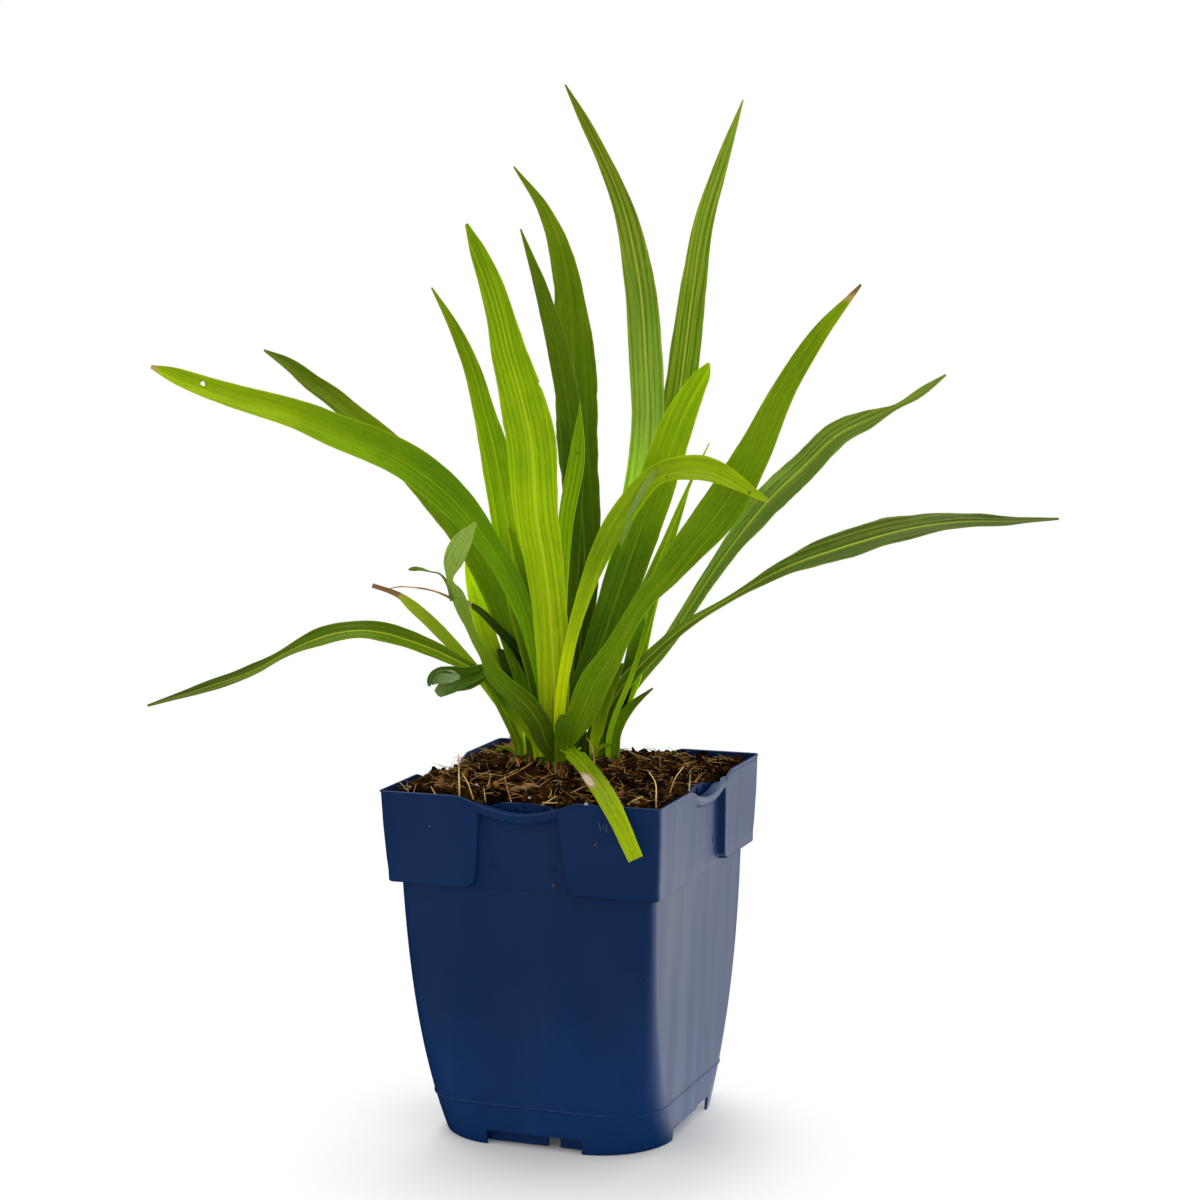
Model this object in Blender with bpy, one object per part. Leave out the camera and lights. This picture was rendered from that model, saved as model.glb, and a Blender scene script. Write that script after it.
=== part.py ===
"""A blazing star in a square nursery pot. Millimetres below, metres in the scene. The pot stands on z = 0."""

import math

import bpy
import numpy as np

MM = 0.001

RIM_HALF = 45.0
RIM_Z = 108.5
COLLAR_HALF = 43.45
COLLAR_Z = 80.9
COLLAR_RADIUS = 2.0
BODY_HALF = 40.2
BODY_SHRINK = 3.7
BODY_Z = 80.4
WALL = 0.9
PANEL_DEPTH = 2.4
PANEL_TOP = 12.2
PANEL_BOTTOM = 14.2
PANEL_STEP = 0.85
LIP_INSIDE = 41.8
DIP = 4.6
FLOOR_Z = 5.0
FLOOR_UNDER = 4.0
SKIRT_HALF = 33.5
NOTCH_HALF = 15.5
NOTCH_Z = 3.5
BOSS_RADIUS = 8.0
DRAIN_RADIUS = 4.0
DRAIN_AT = 17.0
POCKET_HALF = 10.2
POCKET_Z = 87.0
POCKET_TOP = 106.3
POCKET_BACK = 38.9
GAP = 0.3
CORNER_POINTS = 7
FRONT = np.array([0.369, -0.920, 0.134])
UP = np.array([0.0, 0.0, 1.0])
BLADE = 0.8
MARGIN = 0.35
STATIONS = 13
FOLD = 0.10
CROWN_Z = {"shoot_front": 112.4, "shoot_left": 111.9, "shoot_right": 111.6}
CROWN_FOOT = 104.0
CROWN_MARGIN = 2.0


def clear_scene():
    for thing in list(bpy.data.objects):
        bpy.data.objects.remove(thing)


def material(name, colour, roughness):
    made = bpy.data.materials.new(name)
    made.use_nodes = True
    shader = made.node_tree.nodes["Principled BSDF"]
    shader.inputs["Base Color"].default_value = (*colour, 1.0)
    shader.inputs["Roughness"].default_value = roughness
    return made


def solid(name, points, faces, skin=None):
    mesh = bpy.data.meshes.new(name)
    scaled = [tuple(float(value) * MM for value in point) for point in points]
    mesh.from_pydata(scaled, [], faces)
    mesh.validate()
    made = bpy.data.objects.new(name, mesh)
    bpy.context.scene.collection.objects.link(made)
    if skin:
        mesh.materials.append(skin)
    return made


def loft(rings, ends=True):
    """Faces between rings of equal length, each ring seen turning left from outside the far end."""
    count = len(rings[0])
    points = [point for ring in rings for point in ring]
    faces = []
    for low in range(len(rings) - 1):
        for at in range(count):
            after = (at + 1) % count
            first, second = low * count + at, low * count + after
            faces.append((first, second, second + count, first + count))
    if ends:
        faces.append(tuple(reversed(range(count))))
        faces.append(tuple(range(len(points) - count, len(points))))
    return points, faces


def boolean(target, cutter, operation):
    step = target.modifiers.new(cutter.name, "BOOLEAN")
    step.operation = operation
    step.solver = "EXACT"
    step.object = cutter
    cutter.hide_render = True
    cutter.display_type = "WIRE"


def outline(half, radius, side):
    """One rounded square. Each of its four sides follows the (along, inwards) pairs in side, middle first."""
    straight = half - radius
    fit = min(1.0, (straight - 0.2) / side[-1][0])
    mirrored = [(-along, depth) for along, depth in reversed(side[1:])] + list(side)
    points = []
    for turn in range(4):
        angle = math.radians(90 * turn)
        along_x, along_y = math.cos(angle), math.sin(angle)
        for along, depth in mirrored:
            points.append((along * fit, -(half - depth)))
        for step in range(CORNER_POINTS):
            swing = math.radians(-90 + 90 * step / (CORNER_POINTS - 1))
            points.append((straight + radius * math.cos(swing), -straight + radius * math.sin(swing)))
        fresh = len(mirrored) + CORNER_POINTS
        for at in range(len(points) - fresh, len(points)):
            x, y = points[at]
            points[at] = (x * along_x - y * along_y, x * along_y + y * along_x)
    return points


def body_size(z):
    """Half width and corner radius of the pot's body at a height."""
    drop = min(max((BODY_Z - z) / 82.0, 0.0), 1.0)
    return BODY_HALF - BODY_SHRINK * drop**1.1, 1.03 + 22.6 * drop**2.74


def dip(along):
    """How far the rim falls below its corners, along one side."""
    return DIP * max(0.0, 1.0 - (abs(along) / 19.0) ** 2) ** 1.3


def side_points(panel, inset=0.0):
    step = panel + PANEL_STEP
    return [0.0, 5.0, 9.3, panel + inset, step + inset, 17.2, 19.8]


def side(panel, centre, outer, inset=0.0):
    """Depths along a side: centre as far as the panel's edge, outer beyond it."""
    along = side_points(panel, inset)
    return list(zip(along, [centre] * 4 + [outer] * 3))


def level(flat, z):
    return [(x, y, z) for x, y in flat]


def along_side(x, y):
    """Distance from the middle of the nearest side."""
    return min(abs(x), abs(y))


def pot_rings():
    rings = []
    plain = side(PANEL_BOTTOM, 0.0, 0.0)

    def body(z, inset):
        half, radius = body_size(z)
        rings.append(level(outline(half - inset, max(radius - inset, 0.5), plain), z))

    def round_ring(radius, z):
        flat = outline(40.0, 10.0, plain)
        rings.append([(radius * x / math.hypot(x, y), radius * y / math.hypot(x, y), z) for x, y in flat])

    round_ring(BOSS_RADIUS, 0.0)
    round_ring(BOSS_RADIUS, FLOOR_UNDER)
    rings.append(level(outline(SKIRT_HALF - 1.2, 19.0, plain), FLOOR_UNDER))
    rings.append(level(outline(SKIRT_HALF - 1.2, 19.0, plain), 0.8))
    rings.append(level(outline(SKIRT_HALF, 20.0, plain), 0.8))
    rings.append(level(outline(SKIRT_HALF, 20.0, plain), FLOOR_UNDER))
    body(FLOOR_UNDER, WALL)
    body(0.0, WALL)
    for z in (0.0, 5.0, 12.0, 20.0, 30.0, 42.0, 60.0, BODY_Z):
        body(z, 0.0)
    panel = side(PANEL_BOTTOM, PANEL_DEPTH, 0.0)
    rings.append(level(outline(COLLAR_HALF, COLLAR_RADIUS, panel), COLLAR_Z))
    lip_half = RIM_HALF - 0.4
    for depth, lift in ((PANEL_DEPTH, 0.0), (0.0, 0.4)):
        flat = outline(lip_half, COLLAR_RADIUS, side(PANEL_TOP, depth, 0.0))
        rings.append([(x, y, 100.6 + lift + 2.4 * min(1.0, along_side(x, y) / 13.0) ** 2) for x, y in flat])
    flat = outline(RIM_HALF, COLLAR_RADIUS, side(PANEL_TOP, 0.0, 0.0))
    rings.append([(x, y, RIM_Z - dip(along_side(x, y))) for x, y in flat])
    lip = RIM_HALF - WALL - LIP_INSIDE
    flat = outline(RIM_HALF - WALL, COLLAR_RADIUS - WALL, side(PANEL_TOP, lip, 0.0, WALL))
    rings.append([(x, y, RIM_Z - dip(along_side(x, y))) for x, y in flat])
    flat = outline(lip_half - WALL, COLLAR_RADIUS - WALL, side(PANEL_TOP, PANEL_DEPTH, 0.0, WALL))
    rings.append(level(flat, 99.5))
    flat = outline(COLLAR_HALF - WALL, COLLAR_RADIUS - WALL, side(PANEL_BOTTOM, PANEL_DEPTH, 0.0, WALL))
    rings.append(level(flat, COLLAR_Z + 1.0))
    body(BODY_Z + 1.0, WALL)
    for z in (60.0, 42.0, 30.0, 20.0, 12.0, FLOOR_Z):
        body(z, WALL)
    return rings


def block(name, low, high):
    x0, y0, z0 = low
    x1, y1, z1 = high
    rings = [[(x0, y0, z), (x1, y0, z), (x1, y1, z), (x0, y1, z)] for z in (z0, z1)]
    return solid(name, *loft(rings))


def cylinder(name, x, y, radius, z0, z1):
    turn = [math.radians(15 * step) for step in range(24)]
    rings = [[(x + radius * math.cos(a), y + radius * math.sin(a), z) for a in turn] for z in (z0, z1)]
    return solid(name, *loft(rings))


def build_pot(skin):
    pot = solid("pot", *loft(pot_rings()), skin)
    for turn in range(4):
        angle = math.radians(90 * turn)
        pocket = block(
            f"pocket_{turn}",
            (-POCKET_HALF, -LIP_INSIDE + 0.3, POCKET_Z),
            (POCKET_HALF, -POCKET_BACK, POCKET_TOP),
        )
        slot = block(
            f"slot_{turn}",
            (-POCKET_HALF + 0.9, -LIP_INSIDE + 0.75, POCKET_Z + 1.0),
            (POCKET_HALF - 0.9, -POCKET_BACK - 0.9, RIM_Z + 3.0),
        )
        notch = block(f"notch_{turn}", (-NOTCH_HALF, -44.0, -1.0), (NOTCH_HALF, -34.4, NOTCH_Z))
        for cutter, operation in ((pocket, "UNION"), (slot, "DIFFERENCE"), (notch, "DIFFERENCE")):
            cutter.rotation_euler.z = angle
            boolean(pot, cutter, operation)
        x = DRAIN_AT * math.cos(angle + math.pi / 4) * math.sqrt(2)
        y = DRAIN_AT * math.sin(angle + math.pi / 4) * math.sqrt(2)
        boolean(pot, cylinder(f"drain_{turn}", x, y, DRAIN_RADIUS, -1.0, FLOOR_Z + 3.0), "DIFFERENCE")
    return pot


def mound(x, y):
    """Height of the soil's surface."""
    far = math.hypot((x + 6.0) / 30.0, (y - 8.0) / 30.0)
    edge = 106.9 - 0.012 * x - 0.012 * y
    ripple = 0.45 * math.sin(0.31 * x + 0.8) * math.cos(0.27 * y - 0.4)
    return edge + 3.6 * math.exp(-far * far) + ripple


def soil_rings():
    rings = []
    plain = side(PANEL_BOTTOM, 0.0, 0.0)
    inset = WALL + GAP
    for z in (FLOOR_Z + GAP, 12.0, 20.0, 30.0, 42.0, 60.0, BODY_Z + 1.2):
        half, radius = body_size(z)
        rings.append(level(outline(half - inset, max(radius - inset, 0.3), plain), z))
    stations = (
        (COLLAR_Z + 1.4, COLLAR_HALF, PANEL_BOTTOM),
        (86.0, 43.75, 13.8),
        (101.0, 44.5, 12.3),
        (106.6, 44.8, 12.2),
    )
    for z, half, panel in stations:
        along = [0.0, 5.0, POCKET_HALF + 0.4, panel + inset, panel + PANEL_STEP + inset + 0.1, 17.2, 19.8]
        inner = half - inset
        pocket = inner - (POCKET_BACK - GAP)
        depths = [pocket, pocket, pocket, PANEL_DEPTH + 0.4, 0.0, 0.0, 0.0]
        if z < 83.0:
            depths[:3] = [PANEL_DEPTH + 0.4] * 3
        rings.append(level(outline(inner, 0.8, list(zip(along, depths))), z))
    rim = rings.pop()
    for shrink in (1.0, 0.93, 0.82, 0.68, 0.54, 0.40, 0.26, 0.13):
        ring = []
        for x, y, _ in rim:
            blend = min(1.0, (1.0 - shrink) / 0.12)
            reach = max(abs(x), abs(y))
            edge = 105.4 if abs(along_side(x, y)) < 13.5 and reach < 42.5 and shrink == 1.0 else 106.4
            ring.append((x * shrink, y * shrink, edge + (mound(x * shrink, y * shrink) - edge) * blend))
        rings.append(ring)
    return rings


def build_soil(skin):
    return solid("soil", *loft(soil_rings()), skin)


def crown_rings(feet, margin, low, high):
    """Rings round a set of leaf feet, margin wide, with a softened upper edge."""
    rings = []
    for z, wide in ((low, margin), (high - 0.9, margin), (high - 0.3, margin - 0.3), (high, margin - 0.8)):
        ring = []
        for step in range(28):
            angle = math.tau * step / 28
            way = np.array([math.cos(angle), math.sin(angle)])
            best = max(feet, key=lambda foot: float(np.dot(foot, way)))
            ring.append((best[0] + wide * way[0], best[1] + wide * way[1], z))
        rings.append(ring)
    return rings


def build_crown(name, feet, soil, skin):
    high = CROWN_Z[name]
    feet = [np.array(foot[:2], float) for foot in feet]
    crown = solid(name, *loft(crown_rings(feet, CROWN_MARGIN, CROWN_FOOT, high)), skin)
    opening = crown_rings(feet, CROWN_MARGIN + GAP, CROWN_FOOT - GAP, high + 6.0)
    socket = solid(f"{name}_socket", *loft(opening))
    boolean(soil, socket, "DIFFERENCE")
    return crown


def smooth(points, count):
    """A curve through the points, as count positions evenly spaced along it."""
    points = np.asarray(points, float)
    lengths = np.linalg.norm(np.diff(points[:, :3], axis=0), axis=1)
    at = np.concatenate([[0.0], np.cumsum(lengths)])
    slope = np.gradient(points, at, axis=0)
    places = np.linspace(0.0, at[-1], count)
    found = []
    for place in places:
        left = min(max(int(np.searchsorted(at, place, side="right")) - 1, 0), len(at) - 2)
        span = at[left + 1] - at[left]
        t = (place - at[left]) / span
        weights = (2 * t**3 - 3 * t**2 + 1, t**3 - 2 * t**2 + t, 3 * t**2 - 2 * t**3, t**3 - t**2)
        sides = (points[left], slope[left] * span, points[left + 1], slope[left + 1] * span)
        found.append(sum(weight * value for weight, value in zip(weights, sides)))
    return np.array(found)


def unit(vector):
    return vector / np.linalg.norm(vector)


def midrib(spec, count):
    """Points along a leaf's middle, with its width as seen from the front as a fourth value."""
    name, shoot, foot, heading, lean, tilt, spine = spec
    turn, lay = math.radians(heading), math.radians(lean)
    away = np.array([math.cos(turn), math.sin(turn), 0.0])
    across = np.array([-math.sin(turn), math.cos(turn), 0.0])
    rising = across * math.sin(lay) + UP * math.cos(lay)
    drop = (foot[2] - CROWN_Z[shoot] - GAP) / math.cos(lay)
    low = np.array([*foot], float) - rising * drop
    points = [[*low, spine[0][2] * 0.8]]
    for reach, rise, width in spine:
        if rise > -drop + 1.0 or reach:
            points.append([*(np.array([*foot], float) + away * reach + rising * rise), width])
    return smooth(points, count)


def blade_rings(spec, count=STATIONS):
    tilt = spec[5]
    line = midrib(spec, count)
    centre = line[:, :3]
    tangent = np.gradient(centre, axis=0)
    rings = []
    for at in range(count):
        along = unit(tangent[at])
        part = at / (count - 1)
        lift = math.radians(tilt[0] + (tilt[1] - tilt[0]) * part)
        facing = unit(FRONT * math.cos(lift) + UP * math.sin(lift))
        across = unit(np.cross(along, facing))
        normal = np.cross(across, along)
        seen_across = across - FRONT * float(across @ FRONT)
        seen_along = unit(along - FRONT * float(along @ FRONT))
        shown = np.linalg.norm(np.cross(seen_across, seen_along))
        wide = 0.5 * max(float(line[at, 3]), 0.7) / max(shown, 0.4)
        thick = 0.5 * BLADE * (1.0 - 0.45 * part)
        thin = 0.5 * MARGIN
        up = FOLD * wide * 2.0
        ring = [
            centre[at] - across * wide + normal * (up + thin),
            centre[at] + normal * thick,
            centre[at] + across * wide + normal * (up + thin),
            centre[at] + across * wide + normal * (up - thin),
            centre[at] - normal * thick,
            centre[at] - across * wide + normal * (up - thin),
        ]
        rings.append(ring)
    return rings


LEAVES = (
    ("leaf_tall_centre", "shoot_right", (1, 13, 115), 47, 8, (10, 10),
     ((0, 0, 2.5), (4.4, 31.7, 1.9), (7.3, 44, 2), (9.1, 50.1, 2.2), (15, 62, 5), (21, 74, 9),
      (27, 98, 10), (28, 118, 10.5), (27.7, 144, 9.3), (23.3, 169, 6), (18.4, 181.7, 4.3),
      (12.7, 194, 3), (7.2, 205, 0.4))),
    ("leaf_tall_right", "shoot_right", (4, 17, 115), 48, 7, (10, 10),
     ((0, 0, 3), (16, 59, 5.5), (25, 84, 8), (33, 104, 9.5), (37.2, 121.5, 9.4), (41.4, 140, 8.1),
      (46.3, 159.5, 6.3), (55, 180.5, 4.1), (64, 200, 0.4))),
    ("leaf_back_dark", "shoot_front", (-6, 12, 115), 182, -14, (5, 15),
     ((0, 0, 3.5), (-1, 29, 6), (-0.5, 57, 9.5), (2, 76, 11.5), (4.7, 95.5, 12.5), (6.4, 111, 13.2),
      (8.9, 127, 12.8), (10.9, 141, 9.3), (15.2, 156.5, 7), (22.2, 170.5, 3.7), (33, 184, 0.4))),
    ("leaf_back_fork", "shoot_front", (-7, 9, 116), 184, -10, (10, 20),
     ((0, 0, 3), (0, 50, 4.5), (0.4, 81, 6), (1.8, 97.5, 6.8), (5.2, 115, 7), (12.3, 138, 4.6),
      (21, 160, 0.4))),
    ("leaf_bright_broad", "shoot_front", (-6, -1, 114), 210, 5, (5, 15),
     ((0, 0, 5), (3, 60, 11.5), (5, 72, 13), (7, 99, 14.5), (9.9, 112, 12.9), (13.2, 124, 10.4),
      (15.5, 134.5, 8.2), (18.7, 145.5, 6.7), (22, 154, 4.6), (25.2, 162, 0.8))),
    ("leaf_left_narrow", "shoot_front", (-10, 2, 117), 190, -4, (10, 20),
     ((0, 0, 4.5), (9, 47, 8), (12.6, 69, 9.2), (16.7, 91, 8.4), (19.7, 102, 6.4), (22.7, 112.8, 5.3),
      (28.6, 126.7, 3.3), (36, 139.5, 0.4))),
    ("leaf_left_arch", "shoot_front", (-9, -1, 118), 220, 0, (10, 40),
     ((0, 0, 2), (1.2, 15, 2), (2.9, 24.9, 2.8), (4.9, 35.3, 4.6), (8.9, 46.7, 6.4), (13.4, 55.5, 6.6),
      (17.3, 61.8, 7), (22.4, 68.9, 8.8), (27.9, 75.2, 10), (34.3, 81, 10.5), (42.5, 87, 10.5),
      (64, 97, 9.8), (75.7, 102.3, 8.6), (87, 106, 7.6), (102, 111.3, 5.8), (112, 115.5, 3.8),
      (117, 117.8, 0.8))),
    ("leaf_left_behind", "shoot_left", (-16, 4, 116), 177, 0, (10, 35),
     ((0, 0, 3.5), (12, 46, 7), (16, 54, 7.5), (33, 77, 9.5), (61, 101, 6.5), (68, 106, 6),
      (75.8, 110.8, 5.2), (83.1, 116, 3.8), (92.2, 120.6, 0.5))),
    ("leaf_round_tip", "shoot_front", (-2, 2, 117), 27, 0, (10, 20),
     ((0, 0, 5), (11, 33, 10), (26, 74, 11.5), (36.6, 102, 8.6), (40.3, 108.8, 6), (42.8, 113, 3.8),
      (44, 115.5, 0.8))),
    ("leaf_bent_over", "shoot_front", (-4, -3, 116), -4, 0, (0, 25),
     ((0, 0, 2.5), (8, 43, 4), (24, 74, 7), (35, 85, 6), (48, 87, 7.5), (70, 78, 1))),
    ("leaf_big_right", "shoot_front", (-1, -4, 116), 8, 0, (5, 30),
     ((0, 0, 3.2), (1.1, 3.6, 5.2), (4, 9, 7.8), (9.8, 21.6, 9.2), (13.8, 27.8, 7.6), (17.5, 34.5, 5.8),
      (25, 46.4, 5.7), (31, 52.8, 7), (38.7, 62, 9.8), (49, 74, 12.2), (59.3, 91.5, 9.9),
      (67.8, 108.8, 7), (78.3, 125.2, 5), (90.9, 140.2, 0.6))),
    ("leaf_right_wavy", "shoot_right", (4, 14, 114), 37, 0, (10, 35),
     ((0, 0, 3.5), (24, 35, 4), (38.4, 55.4, 5.4), (55.4, 75, 8.9), (67.2, 85.3, 8.5),
      (78.4, 94.6, 7.6), (88.1, 98.7, 5.2), (96.8, 102.2, 1.6), (105.2, 106.4, 2.6), (114, 112, 0.4))),
    ("leaf_right_low", "shoot_right", (4, 11, 115), 15, 0, (10, 60),
     ((0, 0, 3.5), (25, 35.5, 3), (41.8, 46.2, 1.9), (60.8, 56.4, 5.4), (71.8, 60.3, 7.7),
      (83, 63.6, 8.2), (105.9, 68.6, 5.4), (128, 69.2, 1.9), (140, 70, 0.4))),
    ("leaf_low_left", "shoot_left", (-19, 1, 115), 220, 0, (10, 60),
     ((0, 0, 2.8), (2, 5.7, 2.8), (4.6, 11.6, 3), (7.7, 18.1, 3), (11.8, 23.6, 3), (17.1, 26.9, 3.3),
      (22.3, 29.8, 4.2), (28.2, 32.6, 4.6), (49, 39, 5.9), (57, 38.6, 5.5), (65, 36.5, 4.6),
      (72.6, 33.4, 2.6), (81.3, 29.2, 3.4), (97, 24.6, 2.5), (114, 20.5, 0.4))),
    ("leaf_brown_tip", "shoot_left", (-19, 3, 115), 200, 0, (10, 30),
     ((0, 0, 2.5), (9, 17, 3), (19.7, 30.6, 3.6), (28, 39.4, 3.7), (33, 44, 3.2), (36.6, 47.1, 1.8),
      (39.5, 48.5, 1.4), (45, 50.4, 1.2))),
    ("leaf_folded_head", "shoot_front", (-4, -6, 114), 224, 0, (0, 20),
     ((0, 0, 4.6), (2.5, 4.2, 5.6), (4.6, 10, 7.2), (8, 15.4, 7), (13.5, 21, 5.8), (18.9, 26.5, 5.1),
      (21.7, 32.8, 3.5), (24.6, 37.3, 2.4), (26.4, 41.7, 2.6), (28.6, 47.4, 4), (30.4, 52, 3.8),
      (32.4, 55.7, 1.6), (31.2, 62, 6), (28.2, 67.5, 5.6), (24, 73, 0.8))),
    ("leaf_dark_short", "shoot_front", (-11, 4, 119), 196, -2, (10, 20),
     ((0, 0, 2.8), (3.4, 14.5, 2.9), (4.6, 18.6, 3.1), (6.7, 22.7, 3.1), (9.7, 27.4, 2.8),
      (14.8, 32.8, 2.4), (19.9, 38, 2), (25.2, 41.4, 1))),
    ("leaf_curled_hook", "shoot_front", (-12, 0, 115), 224, 0, (5, 20),
     ((0, 0, 3), (9, 13, 3.5), (14.5, 22.5, 4), (17.5, 25, 4.6), (22, 23.6, 4.8), (26, 22, 4.4),
      (30, 20.3, 3.4), (32, 19.2, 2))),
    ("leaf_lime_behind", "shoot_left", (-20, 6, 114), 184, 0, (10, 20),
     ((0, 0, 3), (1.6, 6, 2.7), (4.2, 11.3, 2.9), (6.3, 17.4, 3.3), (8.6, 29, 4.8), (10.9, 34.6, 5.6),
      (12.4, 40, 5.8), (14.3, 47.6, 5.2), (16.2, 52.8, 2.8), (17.5, 57, 0.5))),
    ("leaf_small_bright", "shoot_front", (-5, 3, 117), 22, 5, (10, 10),
     ((0, 0, 2.5), (1, 50, 3), (2, 67, 4.5), (6, 89, 4.5), (7, 104, 0))),
    ("leaf_pale_midrib", "shoot_right", (7, 14, 115), 32, 0, (10, 20),
     ((0, 0, 3), (7, 20, 4.5), (12, 41, 4.5), (25, 79, 1))),
    ("blade_thin_left", "shoot_right", (5, 9, 115), 28, 0, (10, 10),
     ((0, 0, 1.5), (23, 68, 1.5), (35, 93, 0.5))),
    ("blade_thin_right", "shoot_right", (8, 8, 115), 28, 0, (10, 10),
     ((0, 0, 1.5), (8, 23, 1.5), (21, 60, 1), (38, 87, 0.5))),
    ("leaf_small_right", "shoot_right", (9, 11, 113), 2, 0, (10, 30),
     ((0, 0, 3.2), (0.3, 5.3, 3.5), (1.9, 9.3, 3.4), (5.5, 14.3, 2.7), (8.9, 17.4, 1.5),
      (12.7, 20.5, 0.4))),
    ("leaf_stub", "shoot_front", (-1.2, -7.4, 117), 22, -10, (0, 10),
     ((0, 0, 3.8), (0.6, 5, 4.8), (1, 9, 4.2), (1.1, 10.8, 2.2))),
    ("leaf_drooping_cut", "shoot_front", (1.1, -5.4, 115), -57, -21, (60, 10),
     ((0, 0, 3), (8, 0.6, 3.6), (20, 0.6, 4.4), (36, -1.6, 5.4), (47, -5, 5.6), (53.5, -10, 5.2),
      (57, -22, 4.3))),
    ("leaf_small_round", "shoot_front", (-8, 1, 118), 197, -3, (10, 20),
     ((0, 0, 2.5), (7, 49, 3.5), (12, 65, 1))),
    ("leaf_dark_broad", "shoot_front", (-11, 10, 116), 200, 0, (10, 20),
     ((0, 0, 3), (5.4, 7.2, 3.8), (7.8, 13.8, 6.8), (10.5, 20, 8.8), (13.9, 24.8, 6), (16.9, 28.6, 1))),
    ("leaf_dark_inner", "shoot_right", (7, 12.9, 115), 32, 0, (10, 20),
     ((0, 0, 2.8), (3.5, 12.6, 3.6), (5.5, 20.4, 4.2), (7.2, 26.2, 4.6), (8.8, 31.9, 4.4),
      (11, 39, 0.8))),
    ("leaf_inner_lime", "shoot_right", (3.6, 6.8, 115), 22, 0, (10, 20),
     ((0, 0, 2.6), (1.5, 5.6, 3.8), (2.8, 11.1, 4), (4.4, 15.7, 3.7), (6.8, 20.8, 2.8), (9.5, 26, 0.6))),
    ("leaf_inner_short", "shoot_right", (1.2, 7.5, 114), 30, 0, (10, 20),
     ((0, 0, 3), (0.9, 2.5, 3.5), (1.5, 4.8, 2.9), (1.8, 7.5, 0.8))),
)


def build_leaves(fresh, old):
    for spec in LEAVES:
        skin = old if spec[0] in ("leaf_stub", "leaf_curled_hook") else fresh
        solid(spec[0], *loft(blade_rings(spec)), skin)


clear_scene()
soil = build_soil(material("soil", (0.055, 0.036, 0.022), 0.95))
build_pot(material("pot_plastic", (0.010, 0.022, 0.075), 0.42))
sheath = material("leaf_sheath", (0.22, 0.30, 0.07), 0.55)
for crown_name in CROWN_Z:
    crown_feet = [spec[2] for spec in LEAVES if spec[1] == crown_name]
    build_crown(crown_name, crown_feet, soil, sheath)
build_leaves(material("leaf_green", (0.19, 0.34, 0.03), 0.45), material("leaf_old", (0.30, 0.28, 0.12), 0.6))
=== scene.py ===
import math
import random
from collections import namedtuple

import bmesh
import bpy
import numpy as np
from mathutils import Matrix


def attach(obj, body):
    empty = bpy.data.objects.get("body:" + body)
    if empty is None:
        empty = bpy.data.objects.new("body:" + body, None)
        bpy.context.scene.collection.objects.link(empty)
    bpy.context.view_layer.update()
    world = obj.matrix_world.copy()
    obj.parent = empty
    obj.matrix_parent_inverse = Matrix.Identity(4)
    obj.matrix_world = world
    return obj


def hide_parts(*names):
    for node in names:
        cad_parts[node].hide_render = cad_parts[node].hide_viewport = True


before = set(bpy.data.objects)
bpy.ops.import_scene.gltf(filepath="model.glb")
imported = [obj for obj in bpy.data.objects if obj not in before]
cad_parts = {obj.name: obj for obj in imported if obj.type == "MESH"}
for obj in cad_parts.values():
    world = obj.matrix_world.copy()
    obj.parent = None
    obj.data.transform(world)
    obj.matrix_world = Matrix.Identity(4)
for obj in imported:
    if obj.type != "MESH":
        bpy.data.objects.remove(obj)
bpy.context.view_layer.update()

MM = 0.001
UP = np.array([0.0, 0.0, 1.0])
# the leaves are laid out as seen from this way
FRONT = np.array([0.369, -0.920, 0.134])

# the pot, in millimetres
RIM_HALF = 45.0
RIM_Z = 108.5
COLLAR_HALF = 43.45
COLLAR_FOOT = 81.0
COLLAR_RADIUS = 2.0
BODY_HALF = 40.2
BODY_SHRINK = 3.7
BODY_Z = 80.4
BODY_FALL = 82.0
WALL = 0.9
PANEL_DEPTH = 2.4
PANEL_TOP = 12.2
PANEL_BOTTOM = 14.2
PANEL_REACH = 19.9
DIP = 4.6
DIP_HALF = 19.0
CORNER_STEPS = 12
BOSS_RADIUS = 8.0
SKIRT_HALF = 33.5
SKIRT_Z = 4.0
NOTCH_HALF = 15.5
NOTCH_Z = 4.4
DRAIN_RADIUS = 4.0
DRAIN_OUT = 17.0
POCKET_HALF = 10.2
POCKET_FRONT = 41.6
POCKET_BACK = 38.9
POCKET_FOOT = 87.0
POCKET_Z = 106.3

# the soil and the plant, in millimetres
SOIL_HALF = 43.2
SOIL_CELLS = 200
SOIL_FLAT = 41.0
SOIL_EDGE_Z = 106.4
SOIL_SHELF = 38.2
SOIL_SHELF_HALF = 11.2
SOIL_FOOT = 5.3
SOIL_GAP = 1.2
LITTER_REACH = 41.0
CROWN_Z = {"shoot_front": 112.4, "shoot_left": 111.9, "shoot_right": 111.6}
CROWN_GAP = 0.3
ROOT_DEPTH = 1.5
LEAF_WALL = 0.45
LOBE_WALL = 0.40


# ---------------------------------------------------------------- small helpers


def feed(tree, socket, value):
    """Links a socket to the one given, or sets a plain value on it."""
    if isinstance(value, bpy.types.NodeSocket):
        tree.links.new(value, socket)
    else:
        socket.default_value = value


def add(tree, kind, into=None, **settings):
    """One node with these settings, its sockets fed from into."""
    node = tree.nodes.new(kind)
    for key, value in settings.items():
        setattr(node, key, value)
    for key, value in (into or {}).items():
        feed(tree, node.inputs[key], value)
    return node


def one(tree, kind, into=None, **settings):
    """The first output of such a node."""
    return add(tree, kind, into, **settings).outputs[0]


def calc(tree, operation, first, second=0.0, clamp=False):
    return one(tree, "ShaderNodeMath", {0: first, 1: second}, operation=operation, use_clamp=clamp)


def plus(tree, first, second):
    return calc(tree, "ADD", first, second)


def less(tree, first, second):
    return calc(tree, "SUBTRACT", first, second)


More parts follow.
